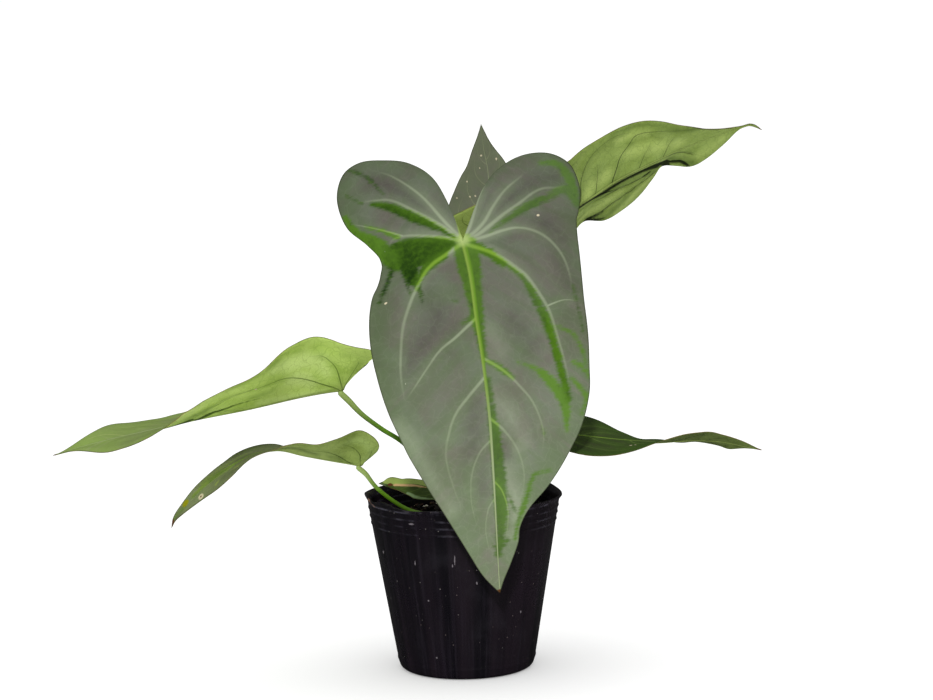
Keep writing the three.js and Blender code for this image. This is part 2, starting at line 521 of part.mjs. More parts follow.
function toManifold(geometry) {
  const bare = geometry.clone();
  bare.deleteAttribute('normal');
  bare.deleteAttribute('uv');
  const merged = mergeVertices(bare, 1e-5);
  return new wasm.Manifold(new wasm.Mesh({
    numProp: 3,
    vertProperties: new Float32Array(merged.getAttribute('position').array),
    triVerts: new Uint32Array(merged.getIndex().array),
  }));
}

function fromManifold(body) {
  const mesh = body.getMesh();
  return solid(Array.from(mesh.vertProperties), Array.from(mesh.triVerts));
}

function potGeometry() {
  let body = toManifold(turned(potProfile(), POT_SIDES, warp));
  for (let i = 0; i < DRAINS; i += 1) {
    const a = ((i + 0.5) / DRAINS) * 2 * Math.PI;
    const drill = new THREE.CylinderGeometry(DRAIN_R, DRAIN_R, POT_FLOOR * 4, 14).rotateX(Math.PI / 2);
    drill.translate(DRAIN_RING * Math.cos(a), DRAIN_RING * Math.sin(a), POT_FLOOR / 2);
    body = body.subtract(toManifold(drill));
  }
  return fromManifold(body);
}

// Low mounds of the potting mix, calm against the wall and round the stem.
function mound(angle, r) {
  const x = r * Math.cos(angle);
  const y = r * Math.sin(angle);
  const calm = THREE.MathUtils.smoothstep(r, CROWN_R, CROWN_R + 9) * (1 - THREE.MathUtils.smoothstep(r, 46, 55));
  return calm * SOIL_BUMP * (Math.sin(x * 0.31 + 0.7) * Math.cos(y * 0.27 - 0.4) + 0.55 * Math.sin(x * 0.73 - y * 0.61));
}

function soilGeometry() {
  const topR = wallR(SOIL_TOP) - POT_WALL - GAP;
  const profile = [[0, POT_FLOOR + GAP], [wallR(POT_FLOOR) - POT_WALL - 6.4, POT_FLOOR + GAP],
    [wallR(10) - POT_WALL - GAP - 0.2, 10.2], [topR - 0.2, SOIL_TOP - 0.6], [topR - 1.2, SOIL_TOP]];
  for (const r of [50, 45, 40, 35, 30, 25, 20, 15, CROWN_R + 2]) profile.push([r, SOIL_TOP]);
  profile.push([CROWN_R + GAP + 0.2, SOIL_TOP - 0.4], [CROWN_R + GAP, CROWN_FOOT], [0, CROWN_FOOT]);
  return turned(profile, 44, (a, z, r) => (z === SOIL_TOP ? mound(a, r) : 0));
}

function crownGeometry() {
  const profile = [[0, CROWN_FOOT + GAP], [CROWN_R - 1.5, CROWN_FOOT + GAP], [CROWN_R - 0.3, CROWN_FOOT + 2],
    [CROWN_R - 0.3, CROWN_TOP - 1.2], [CROWN_R - 0.7, CROWN_TOP], [0, CROWN_TOP]];
  return turned(profile, 24, null);
}

// A dry bract: a narrow pointed strip, bent round the stem and leaning out, standing on the potting mix.
const BRACTS = [
  { angle: 1.05, height: 25, half: 3.2, lean: 0.24 },
  { angle: 0.25, height: 20, half: 3.2, lean: 0.3 },
  { angle: -1.95, height: 16, half: 2.6, lean: 0.1 },
];
const BRACT_R = 11.2;
const BRACT = 0.7;

function bractGeometry({ angle, height, half, lean }) {
  const rows = 9;
  const cols = 4;
  const positions = [];
  const faces = [];
  for (const layer of [0, 1]) {
    for (let i = 0; i <= rows; i += 1) {
      const u = i / rows;
      const w = half * Math.sqrt(1 - u ** 2.2) * (0.85 + 0.3 * u) + 0.35;
      for (let c = 0; c <= cols; c += 1) {
        const v = (c / cols) * 2 - 1;
        const r = BRACT_R + lean * height * u ** 1.4 + layer * BRACT;
        const a = angle + (v * w) / (BRACT_R + 1);
        positions.push(r * Math.cos(a), r * Math.sin(a), SOIL_TOP + 0.6 + height * u);
      }
    }
  }
  const n = (rows + 1) * (cols + 1);
  const id = (i, c) => i * (cols + 1) + c;
  for (let i = 0; i < rows; i += 1) {
    for (let c = 0; c < cols; c += 1) {
      const [a, b, d, e] = [id(i, c), id(i, c + 1), id(i + 1, c + 1), id(i + 1, c)];
      faces.push(a, b, d, a, d, e, a + n, d + n, b + n, a + n, e + n, d + n);
    }
  }
  const loop = [];
  for (let c = 0; c <= cols; c += 1) loop.push(id(0, c));
  for (let i = 1; i <= rows; i += 1) loop.push(id(i, cols));
  for (let c = cols - 1; c >= 0; c -= 1) loop.push(id(rows, c));
  for (let i = rows - 1; i >= 1; i -= 1) loop.push(id(i, 0));
  for (let i = 0; i < loop.length; i += 1) {
    const a = loop[i];
    const b = loop[(i + 1) % loop.length];
    faces.push(a, a + n, b + n, a, b + n, b);
  }
  return outward(solid(positions, faces));
}

// ---------------------------------------------------------------- the scene graph
const material = (color, roughness) => new THREE.MeshStandardMaterial({ color, roughness, metalness: 0 });
const object = new THREE.Group();
const put = (name, geometry, look) => {
  geometry.computeVertexNormals();
  const mesh = new THREE.Mesh(geometry, look);
  mesh.name = name;
  object.add(mesh);
};

put('pot', potGeometry(), material(0x17141a, 0.4));
put('soil', soilGeometry(), material(0x2e211a, 0.95));
put('crown', crownGeometry(), material(0x5c6b35, 0.7));
BRACTS.forEach((b, i) => put(`bract_${i + 1}`, bractGeometry(b), material(0x8a6a45, 0.85)));
for (const [name, leaf] of Object.entries(LEAVES)) {
  put(`leaf_${name}`, bladeGeometry(leaf), material(leaf.colour, 0.45));
  put(`stalk_${name}`, stalkGeometry(name), material(0x6d8a2e, 0.5));
}

export default object;
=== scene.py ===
import math

import bmesh
import bpy
import numpy as np
from mathutils import Matrix, Vector


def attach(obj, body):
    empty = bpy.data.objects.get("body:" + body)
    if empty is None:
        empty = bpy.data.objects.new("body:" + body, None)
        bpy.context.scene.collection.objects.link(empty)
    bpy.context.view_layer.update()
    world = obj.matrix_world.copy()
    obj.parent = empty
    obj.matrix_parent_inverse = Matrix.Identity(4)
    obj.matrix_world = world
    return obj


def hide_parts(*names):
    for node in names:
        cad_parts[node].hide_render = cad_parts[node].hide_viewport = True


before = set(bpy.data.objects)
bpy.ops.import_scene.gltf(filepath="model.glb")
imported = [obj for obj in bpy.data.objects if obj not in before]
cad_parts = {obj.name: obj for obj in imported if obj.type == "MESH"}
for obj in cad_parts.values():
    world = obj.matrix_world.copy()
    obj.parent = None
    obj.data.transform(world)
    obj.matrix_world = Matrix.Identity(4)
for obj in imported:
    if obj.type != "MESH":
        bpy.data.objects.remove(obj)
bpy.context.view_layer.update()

MM = 0.001
TAU = 2 * math.pi


# ------------------------------------------------------------------ camera
# The picture's width in pixels and the camera's focal length in the same pixels.
PICTURE_WIDTH = 933
FOCAL = 2483
SENSOR = 36
# Where the camera stands, in metres, and how far it looks down and leans.
EYE = Vector((0.004, -1.5, 0.366))
PITCH = math.radians(6.5)
ROLL = math.radians(1.3)


def make_camera():
    ahead = Vector((0, math.cos(PITCH), -math.sin(PITCH)))
    level_up = Vector((0, math.sin(PITCH), math.cos(PITCH)))
    right = Vector((1, 0, 0)) * math.cos(ROLL) - level_up * math.sin(ROLL)
    up = Vector((1, 0, 0)) * math.sin(ROLL) + level_up * math.cos(ROLL)
    data = bpy.data.cameras.new("camera")
    data.sensor_width = SENSOR
    data.lens = SENSOR * FOCAL / PICTURE_WIDTH
    data.clip_start = 0.05
    data.clip_end = 60
    camera = bpy.data.objects.new("camera", data)
    turn = Matrix((right, up, -ahead)).transposed().to_4x4()
    camera.matrix_world = Matrix.Translation(EYE) @ turn
    bpy.context.collection.objects.link(camera)
    bpy.context.scene.camera = camera


make_camera()


# ------------------------------------------------------------------ curves
def curve_points(points, t):
    """Points on a smooth curve through points of any dimension, t from 0 to count - 1."""
    p = np.asarray(points, float)
    n = len(p)
    t = np.clip(np.asarray(t, float), 0, n - 1)
    i = np.minimum(t.astype(int), n - 2)
    w = (t - i)[:, None]
    p0 = p[np.maximum(i - 1, 0)]
    p1 = p[i]
    p2 = p[i + 1]
    p3 = p[np.minimum(i + 2, n - 1)]
    v0 = (p2 - p0) / 2
    v1 = (p3 - p1) / 2
    return (2 * p1 - 2 * p2 + v0 + v1) * w**3 + (-3 * p1 + 3 * p2 - 2 * v0 - v1) * w**2 + v0 * w + p1


def keyed(keys, place):
    """Smooth values through keys (place, value, ...), held past both ends."""
    k = np.asarray(keys, float)
    x, v = k[:, 0], k[:, 1:]
    s = np.clip(np.asarray(place, float), x[0], x[-1])
    slope = (v[1:] - v[:-1]) / (x[1:] - x[:-1])[:, None]
    m = np.vstack([slope[:1], (slope[:-1] + slope[1:]) / 2, slope[-1:]])
    i = np.clip(np.searchsorted(x, s, side="right") - 1, 0, len(x) - 2)
    h = (x[i + 1] - x[i])[:, None]
    u = (s - x[i])[:, None] / h
    a, b = v[i], v[i + 1]
    return (
        a * (2 * u**3 - 3 * u**2 + 1)
        + b * (3 * u**2 - 2 * u**3)
        + h * m[i] * (u**3 - 2 * u**2 + u)
        + h * m[i + 1] * (u**3 - u**2)
    )


def step(x, low, high):
    """Smooth step from 0 at low to 1 at high."""
    t = np.clip((x - low) / (high - low), 0, 1)
    return t * t * (3 - 2 * t)


def from_line(x, s, line):
    """Signed distance to a curve, and how far along it the nearest point lies, from 0 to 1."""
    p = curve_points(line, np.linspace(0, len(line) - 1, 9 * len(line)))
    length = np.concatenate([[0], np.cumsum(np.hypot(*np.diff(p, axis=0).T))])
    best = np.full(len(x), np.inf)
    signed = np.zeros(len(x))
    along = np.zeros(len(x))
    for k in range(len(p) - 1):
        d = p[k + 1] - p[k]
        ll = max(d @ d, 1e-12)
        u = np.clip(((x - p[k, 0]) * d[0] + (s - p[k, 1]) * d[1]) / ll, 0, 1)
        ex = x - p[k, 0] - u * d[0]
        es = s - p[k, 1] - u * d[1]
        dist = np.hypot(ex, es)
        near = dist < best
        side = np.where(d[0] * es - d[1] * ex >= 0, 1.0, -1.0)
        best = np.where(near, dist, best)
        signed = np.where(near, side * dist, signed)
        along = np.where(near, (length[k] + u * (length[k + 1] - length[k])) / length[-1], along)
    return signed, along


def mesh_object(name, points, faces, materials, which=None, smooth=True):
    """A mesh object from points in mm; which gives each face's material."""
    mesh = bpy.data.meshes.new(name)
    points = np.asarray(points, float) * MM
    sizes = np.array([len(f) for f in faces])
    mesh.vertices.add(len(points))
    mesh.vertices.foreach_set("co", points.astype(np.float32).ravel())
    mesh.loops.add(sizes.sum())
    mesh.loops.foreach_set("vertex_index", np.concatenate(list(faces)).astype(np.int32))
    mesh.polygons.add(len(sizes))
    mesh.polygons.foreach_set("loop_start", (np.cumsum(sizes) - sizes).astype(np.int32))
    mesh.polygons.foreach_set("loop_total", sizes.astype(np.int32))
    for m in materials:
        mesh.materials.append(m)
    if which is not None:
        mesh.polygons.foreach_set("material_index", np.asarray(which, np.int32))
    mesh.polygons.foreach_set("use_smooth", np.full(len(sizes), smooth))
    mesh.update(calc_edges=True)
    mesh.validate()
    obj = bpy.data.objects.new(name, mesh)
    bpy.context.collection.objects.link(obj)
    return obj


def turned(profile, sides, ring):
    """Points and faces of a closed form turned round the Z axis, from (radius, height) pairs.

    ring gives the points of one round; a radius of 0 is a single point, at the form's start and end.
    """
    points = [np.array([(0, 0, z)]) if r == 0 else ring(r, z) for r, z in profile]
    first = np.cumsum([0] + [len(p) for p in points])
    here = np.arange(sides)
    after = (here + 1) % sides
    faces = []
    for i in range(len(profile) - 1):
        p, q = first[i], first[i + 1]
        if profile[i][0] == 0:
            faces.extend(np.stack([np.full(sides, p), q + after, q + here], 1))
        elif profile[i + 1][0] == 0:
            faces.extend(np.stack([p + here, p + after, np.full(sides, q)], 1))
        else:
            faces.extend(np.stack([p + here, p + after, q + after, q + here], 1))
    return np.vstack(points), faces


def give(obj, name, values):
    """A value or vector for each vertex, for the materials to read."""
    values = np.asarray(values, np.float32)
    kind = "FLOAT" if values.ndim == 1 else "FLOAT_VECTOR"
    a = obj.data.attributes.new(name, kind, "POINT")
    a.data.foreach_set("value" if values.ndim == 1 else "vector", values.ravel())


# ------------------------------------------------------------------ materials
class Value:
    """A number, vector or colour in a material. Arithmetic with it adds Math nodes."""

    def __init__(self, nodes, socket):
        self.nodes = nodes
        self.socket = socket

    def __add__(self, other):
        return self.nodes.math("ADD", self, other)

    def __sub__(self, other):
        return self.nodes.math("SUBTRACT", self, other)

    def __rsub__(self, other):
        return self.nodes.math("SUBTRACT", other, self)

    def __mul__(self, other):
        return self.nodes.math("MULTIPLY", self, other)

    def __truediv__(self, other):
        return self.nodes.math("DIVIDE", self, other)


class Nodes:
    """A material's node tree, with short ways to add nodes."""

    def __init__(self, name):
        self.material = bpy.data.materials.new(name)
        self.material.use_nodes = True
        self.tree = self.material.node_tree
        self.tree.nodes.clear()
        self.shader = self.tree.nodes.new("ShaderNodeBsdfPrincipled")
        out = self.tree.nodes.new("ShaderNodeOutputMaterial")
        self.tree.links.new(self.shader.outputs[0], out.inputs[0])

    def put(self, socket, value):
        if isinstance(value, Value):
            self.tree.links.new(value.socket, socket)
        elif socket.type == "RGBA":
            socket.default_value = (*value, 1)
        else:
            socket.default_value = value

    def add(self, kind, inputs, output=0, **settings):
        """A new node with its settings and inputs, given as one of its outputs."""
        node = self.tree.nodes.new("ShaderNode" + kind)
        for name, value in settings.items():
            setattr(node, name, value)
        for name, value in inputs.items():
            self.put(node.inputs[name], value)
        return Value(self, node.outputs[output])

    def math(self, operation, a, b=0.0, clamp=False):
        return self.add("Math", {0: a, 1: b}, operation=operation, use_clamp=clamp)

    def span(self, value, low, high, to_low=0.0, to_high=1.0, smooth=True):
        """The value carried over from one range to another, and held past its ends."""
        inputs = {"Value": value, "From Min": low, "From Max": high, "To Min": to_low, "To Max": to_high}
        return self.add("MapRange", inputs, interpolation_type="SMOOTHSTEP" if smooth else "LINEAR")

    def mix(self, share, a, b, way="MIX"):
        return self.add("Mix", {0: share, 6: a, 7: b}, 2, data_type="RGBA", blend_type=way)

    def value(self, name):
        """A number that the mesh carries for each vertex."""
        return self.add("Attribute", {}, "Fac", attribute_name=name)

    def vector(self, name):
        return self.add("Attribute", {}, "Vector", attribute_name=name)

    def apart(self, vector):
        node = self.add("SeparateXYZ", {0: vector}).socket.node
        return [Value(self, output) for output in node.outputs]

    def join(self, x, y, z):
        return self.add("CombineXYZ", {0: x, 1: y, 2: z})

    def place(self):
        return self.add("TexCoord", {}, "Object")

    def stretch(self, vector, scale, turn):
        return self.add("Mapping", {"Vector": vector, "Scale": scale, "Rotation": turn})

    def noise(self, vector, scale, detail=3.0, rough=0.5, warp=0.0):
        inputs = {"Vector": vector, "Scale": scale, "Detail": detail, "Roughness": rough, "Distortion": warp}
        return self.add("TexNoise", inputs)

    def cells(self, vector, scale, feature="F1"):
        """Distance to the centre of each cell of an uneven pattern, or to its edge."""
        return self.add("TexVoronoi", {"Vector": vector, "Scale": scale}, "Distance", feature=feature)

    def pick(self, cells, channel):
        """A random number for each cell, one of three."""
        return self.apart(Value(self, cells.socket.node.outputs["Color"]))[channel]

    def ray(self, kind):
        """1 for rays of one kind, such as Camera or Diffuse, and 0 for others."""
        return self.add("LightPath", {}, f"Is {kind} Ray")

    def bump(self, height, strength, distance):
        return self.add("Bump", {"Height": height, "Strength": strength, "Distance": distance})

    def finish(self, color, rough, normal=None, specular=0.5):
        inputs = {"Base Color": color, "Roughness": rough, "Specular IOR Level": specular, "IOR": 1.45}
        if normal is not None:
            inputs["Normal"] = normal
        for name, value in inputs.items():
            self.put(self.shader.inputs[name], value)
        return self.material


LIGHT = 1.25     # how much brighter than its own colour a surface looks in this studio


def seen(r, g, b):
    """The colour that looks like this in the studio's light, given in screen values of 0 to 255."""
    def linear(c):
        c /= 255
        return c / 12.92 if c < 0.04045 else ((c + 0.055) / 1.055) ** 2.4
    return tuple(linear(c) / LIGHT for c in (r, g, b))


VEINS = 9        # side veins that a half blade carries


def vein_masks(n, near=0.15, far=1.4, reach=6.5):
    """Strength of the side veins, and of the wider band beside them, from the vein distances."""
    thin = None
    wide = None
    for k in range(VEINS):
        across, along, half = n.apart(n.vector(f"vein_{k}"))
        off = n.math("ABSOLUTE", across)
        alive = n.span(along, 0.0, 0.012) * n.span(along, 0.72, 1.0, 1.0, 0.0)
        core = n.span(off / half, near, far, 1.0, 0.0)
        t = core * (alive * n.span(along, 0.1, 0.7, 1.0, 0.62))
        w = n.span(off, 0.6, reach, 1.0, 0.0) * alive
        thin = t if thin is None else n.math("MAXIMUM", thin, t)
        wide = w if wide is None else n.math("MAXIMUM", wide, w)
    return thin, wide


def fine_net(n, flat, fine):
    """Strength of the mesh of the finest veins."""
    x, s, _ = n.apart(flat)
    warp = n.noise(flat, 0.12, 2, 0.5) * 9.0
    place = n.join(x + warp, s + fine * 4.0, 0.0)
    large = n.cells(place, 0.17, "DISTANCE_TO_EDGE")
    small = n.cells(place, 0.62, "DISTANCE_TO_EDGE")
    return n.span(large, 0.0, 0.06, 1.0, 0.0), n.span(small, 0.0, 0.10, 1.0, 0.0)


def leaf_upper(name, colors, cover, rough, levels=(0.80, 1.2), midrib=0.85, fade=1.0, spots=()):
    """The upper side: a grey satin sheen painted into the colour, that lets clear green show in patches, and
    pale veins.

    cover is how much green the painted sheen hides, and levels the painted sheen's brightness at the stalk
    and at the tip.
    midrib is the midrib's strength, and fade that of the veins towards the tip.
    spots are the colours of three kinds of blotches; on the small leaf the first kind is painted light.
    """
    n = Nodes(name)
    # the grey bloom colours are a sheen painted into the base colour
    painted_sheen, painted_sheen_warm, painted_sheen_dark, painted_sheen_green, deep, bright, pale_vein = (seen(*c) for c in colors)
    flat = n.vector("flat")
    x, s, _ = n.apart(flat)
    off = n.math("ABSOLUTE", x)
    way = n.value("way")
    thin, wide = vein_masks(n)
    inside, light, strength = n.apart(n.vector("patch"))
    cloud = n.noise(flat, 0.030, 3, 0.5, 0.6)
    fine = n.noise(flat, 0.35, 4, 0.6)
    grain = n.noise(flat, 1.6, 3, 0.6)
    rag = n.noise(flat, 0.22, 4, 0.6)
    net, _ = fine_net(n, flat, fine)
    # bands and thin streaks that run out from the midrib and towards the tip
    half = n.math("GREATER_THAN", x, 0.0) * 7.3
    down = s - off * 0.85
    bands = n.noise(n.join(off * 0.025, down * 0.14, half), 1.0, 4, 0.6)
    streaks = n.noise(n.join(off * 0.06, down * 0.75, half), 1.0, 3, 0.6)

    # the clear green under the painted sheen, with yellow-green veins
    green = n.mix(light, deep, bright)
    green = n.mix(n.span(fine, 0.35, 0.8, 0.0, 0.3), green, bright)
    green = n.mix(n.span(rag, 0.2, 0.5, 0.5, 0.0), green, deep)
    green = n.mix(wide * 0.30, green, bright)
    green = n.mix(thin * 0.75, green, seen(122, 158, 52))

    # the painted sheen: warmer between the veins, greener beside them and towards the margin and tip
    gray = n.mix(n.span(cloud, 0.36, 0.60), painted_sheen_warm, painted_sheen)
    edge_near = n.span(n.value("rim"), 1.0, 22.0, 0.6, 0.0)
    gray = n.mix(n.math("MAXIMUM", edge_near, n.value("tone")), gray, painted_sheen_green)
    gray = n.mix(n.span(bands, 0.46, 0.66, 0.0, 0.36), gray, painted_sheen_green)
    gray = n.mix(n.span(bands, 0.32, 0.46, 0.5, 0.0), gray, painted_sheen_warm)
    gray = n.mix(n.span(streaks, 0.48, 0.72, 0.0, 0.08), gray, painted_sheen_green)
    gray = n.mix(n.span(streaks, 0.28, 0.45, 0.04, 0.0), gray, pale_vein)
    warm, cool, light_tint = n.apart(n.vector("tints"))
    gray = n.mix(warm * n.span(rag, 0.2, 0.6, 0.5, 0.9), gray, painted_sheen_dark)
    gray = n.mix(cool * n.span(rag, 0.2, 0.6, 0.5, 0.9), gray, painted_sheen_green)
    gray = n.mix(light_tint * n.span(cloud, 0.3, 0.7, 0.3, 0.5), gray, pale_vein)
    gray = n.mix(n.span(fine, 0.35, 0.8, 0.0, 0.22), gray, painted_sheen_green)
    gray = n.mix(wide * n.span(rag, 0.3, 0.7, 0.1, 0.5), gray, painted_sheen_green)
    gray = n.mix(wide * n.span(n.value("joint"), 6.0, 60.0, 0.4, 0.05), gray, pale_vein)
    gray = n.mix(net * 0.06, gray, pale_vein)
    faint = n.span(n.value("joint"), 4.0, 70.0, 0.95, 0.6) * n.span(way, 0.25, 0.7, 1.0, fade)
    gray = n.mix(thin * faint, gray, pale_vein)
    # the painted sheen: dimmer towards the stalk, brighter towards the tip
    level = n.span(way, 0.0, 1.0, *levels, smooth=False) * n.span(cloud, 0.3, 0.7, 0.92, 1.08)
    gray = n.mix(1.0, gray, n.join(level, level, level), "MULTIPLY")

    # where the painted sheen is left out, with feathered ends
    comb = n.noise(n.join(off * 0.10, (s + x * 0.12) * 0.75, half), 1.0, 4, 0.65)
    ragged = (comb - 0.5) * 0.9 + (rag - 0.5) * 0.5
    clear = n.span(inside + ragged, 0.18, 0.82) * strength
    base = n.mix((1.0 - clear) * cover, green, gray)

    # the midrib: yellow-green and broad at the stalk, thin and pale towards the tip, with a painted highlight
    # on its left side
    across = off / n.value("rib")
    rib = n.span(across, 0.4, 1.2, 1.0, 0.0)
    # lighter on its left side: a painted highlight
    rib_color = n.mix(n.span(x, -0.9, 0.9), seen(132, 158, 68), seen(96, 134, 38))
    rib_color = n.mix(n.span(way, 0.35, 0.65), rib_color, seen(158, 170, 128))
    base = n.mix(rib * midrib, base, rib_color)
    base = n.mix(n.span(n.value("joint"), 1.0, 6.0, 0.75, 0.0), base, seen(170, 188, 120))

    # dust, blemishes and the margin
    dust = n.cells(flat, 0.11)
    speck = n.span(dust, 0.02, 0.045, 1.0, 0.0) * n.span(n.pick(dust, 0), 0.84, 0.85)
    base = n.mix(speck * 0.65, base, seen(196, 200, 176))
    if spots:
        for share, color in zip(n.apart(n.vector("spots")), spots):
            base = n.mix(n.span(share + (rag - 0.5) * 0.5, 0.3, 0.75, 0.0, 0.92), base, seen(*color))
    brown, yellow, pale = n.apart(n.vector("marks"))
    base = n.mix(n.span(yellow, 0.2, 0.8), base, seen(140, 140, 20))
    base = n.mix(n.span(pale, 0.3, 0.7), base, seen(200, 190, 160))
    base = n.mix(n.span(brown, 0.25, 0.75), base, seen(92, 54, 30))
    base = n.mix(n.span(n.value("rim"), 0.1, 0.9, 0.6, 0.0), base, seen(46, 54, 22))

    rough = (fine - 0.5) * 0.2 + rough
    height = thin * 0.6 + rib * 0.5 + net * 0.05 + grain * 0.04 + bands * 0.7
    return n.finish(base, rough, n.bump(height, 0.5, 0.0006), specular=0.04)


def leaf_under(name, colors, groove=0.45):
    """The underside: pale matt green with a fine net, and lines along the raised veins.

    groove is the strength of the painted shadow line on the right of the midrib.
    """
    n = Nodes(name)
    pale, light, mid, dark, line = (seen(*c) for c in colors)
    flat = n.vector("flat")
    x, _, _ = n.apart(flat)
    thin, wide = vein_masks(n, 0.15, 0.8, 5.0)
    cloud = n.noise(flat, 0.035, 3, 0.55, 0.5)
    fine = n.noise(flat, 0.30, 4, 0.6)
    grain = n.noise(flat, 1.9, 3, 0.6)
    net, small = fine_net(n, flat, fine)
    base = n.mix(n.span(cloud, 0.34, 0.66), mid, light)
    base = n.mix(n.span(fine, 0.35, 0.75, 0.0, 0.4), base, light)
    # shade: painted shadow in the folds, darker olive places, and pale places of painted light
    fold, olive, painted_light = n.apart(n.vector("shade"))
    wander = (n.noise(flat, 0.12, 3, 0.6) - 0.5) * 0.5
    base = n.mix(n.span(painted_light + wander, 0.1, 0.9, 0.0, 0.6), base, pale)
    base = n.mix(n.span(olive + wander, 0.1, 0.9, 0.0, 0.6), base, dark)
    base = n.mix(n.span(grain, 0.4, 0.8, 0.0, 0.2), base, dark)
    base = n.mix(net * 0.22, base, dark)
    base = n.mix(small * 0.12, base, dark)
    base = n.mix(wide * 0.18, base, dark)
    base = n.mix(thin * 0.8, base, line)
    across = n.math("ABSOLUTE", x) / n.value("rib")
    rib = n.span(across, 0.7, 1.25, 1.0, 0.0)
    # painted shadow beside the raised midrib, as strong as groove on its right
    midrib_shadow = n.math("SUBTRACT", n.span(across, 1.0, 2.4, 1.0, 0.0), rib, clamp=True)
    base = n.mix(midrib_shadow * n.span(x, -0.3, 0.3, 0.45, groove), base, line)
    base = n.mix(rib * 0.6, base, seen(150, 168, 88))
    # painted shadow along the folds
    fold = fold + (fine - 0.5) * 0.15
    base = n.mix(n.span(fold, 0.25, 0.65, 0.0, 0.92), base, line)
    base = n.mix(n.span(n.value("joint"), 1.5, 8.0, 0.6, 0.0), base, seen(146, 166, 84))
    brown, _, white = n.apart(n.vector("marks"))
    base = n.mix(n.span(white, 0.3, 0.7), base, seen(200, 180, 150))
    base = n.mix(n.span(brown, 0.25, 0.75), base, seen(112, 66, 40))
    base = n.mix(n.span(n.value("rim"), 0.1, 0.9, 0.5, 0.0), base, seen(80, 90, 46))
    rough = (fine - 0.5) * 0.2 + 0.55
    height = thin * 0.9 + net * 0.25 + small * 0.10 + cloud * 1.2 + grain * 0.05
    return n.finish(base, rough, n.bump(height, 0.5, 0.0006), specular=0.12)


def margin_material():
    n = Nodes("leaf margin")
    cloud = n.noise(n.place(), 90, 3, 0.6)
    base = n.mix(n.span(cloud, 0.35, 0.65), seen(70, 74, 36), seen(128, 108, 56))
    return n.finish(base, n.span(cloud, 0.2, 0.8, 0.45, 0.6))


# Colours of an upper side: the painted sheen, and where it is warmer, darker and greener; the deep and the
# bright clear green; the veins.
FRONT_UPPER = leaf_upper(
    "leaf upper side with painted sheen",
    [(102, 108, 93), (107, 103, 95), (80, 77, 72), (87, 101, 72), (20, 46, 3), (90, 132, 32),
     (154, 164, 138)],
    cover=0.96, rough=0.62, levels=(0.84, 1.52), fade=0.3,
)
DARK_UPPER = leaf_upper(
    "leaf upper side",
    [(66, 80, 42), (72, 76, 52), (50, 58, 36), (58, 88, 26), (34, 66, 12), (66, 112, 26),
     (96, 114, 60)],
    cover=0.9, rough=0.58,
)
OLIVE_UPPER = leaf_upper(
    "leaf upper side, olive",
    [(122, 126, 98), (124, 120, 98), (70, 74, 54), (108, 120, 80), (78, 108, 38), (150, 168, 78),
     (134, 140, 108)],
    cover=0.9, rough=0.6, midrib=0.2,
)
BACK_UPPER = leaf_upper(
    "leaf upper side with grey painted sheen",
    [(106, 106, 95), (110, 104, 97), (90, 88, 80), (96, 104, 80), (54, 84, 28), (80, 122, 38),
     (124, 128, 104)],
    cover=0.94, rough=0.62, midrib=0.35,
)
TIP_UPPER = leaf_upper(
    "leaf upper side, light",
    [(128, 146, 84), (136, 146, 100), (106, 122, 66), (116, 138, 68), (80, 116, 32), (100, 144, 44),
     (158, 170, 108)],
    cover=0.92, rough=0.5,
)
SMALL_UPPER = leaf_upper(
    "leaf upper side, mottled, one half painted lighter",
    [(52, 64, 20), (46, 54, 18), (34, 42, 12), (56, 74, 24), (34, 60, 10), (54, 90, 20),
     (84, 104, 50)],
    cover=0.9, rough=0.5, midrib=0.3, spots=[(150, 168, 88), (206, 168, 122), (126, 150, 106)],
)
# Colours of an underside: pale, light, middle and dark green, and its lines.
UNDER = leaf_under(
    "leaf underside", [(160, 182, 106), (148, 168, 88), (128, 148, 68), (84, 106, 38), (54, 76, 14)],
)
# a lighter copy of the underside: painted light for the upper left leaf, which looks lit through
UNDER_PAINTED_LIGHTER = leaf_under(
    "leaf underside, painted lighter", [(214, 236, 146), (184, 210, 108), (160, 190, 82), (104, 134, 46), (56, 82, 14)],
)
UNDER_MIDRIB_SHADOW = leaf_under(
    "leaf underside, painted shadow by the midrib",
    [(188, 208, 114), (148, 170, 86), (128, 150, 64), (80, 106, 34), (12, 24, 2)],
    groove=1.0,
)
UNDER_OLIVE = leaf_under(
    "leaf underside, olive", [(110, 126, 66), (98, 114, 54), (78, 94, 38), (52, 68, 20), (30, 42, 10)],
)
MARGIN = margin_material()


# ------------------------------------------------------------------ leaves
BLADE = 0.8      # thickness in the middle of a blade

# Half outlines run from the sinus corner round the lobe to the tip, as (across, along). Here and in the
# tables of veins and strokes below, both are in thousandths of the midrib, and along starts at the stalk.
HEART = [
    (0, 0), (30, -60), (70, -150), (130, -225), (200, -250), (265, -220), (300, -150), (310, -60),
    (300, 30), (295, 130), (300, 240), (290, 360), (260, 480), (215, 600), (160, 700), (105, 790),
    (60, 870), (25, 940), (0, 1000),
]
FRONT_LEFT = [
    (0, 0), (18, -117), (46, -201), (102, -256), (170, -281), (235, -291), (290, -267), (321, -200),
    (310, -113), (265, -47), (237, 6), (248, 50), (284, 140), (302, 240), (299, 345), (279, 458),
    (241, 573), (190, 677), (138, 773), (86, 870), (45, 945), (0, 1000),
]
FRONT_RIGHT = [
    (0, 0), (31, -40), (54, -85), (87, -135), (133, -175), (190, -200), (248, -205), (301, -190),
    (342, -150), (354, -90), (344, -40), (320, 25), (308, 100), (303, 190), (300, 300), (291, 390),
    (281, 465), (250, 547), (203, 627), (152, 698), (95, 760), (67, 810), (59, 855), (35, 915), (12, 965),
    (0, 1000),
]
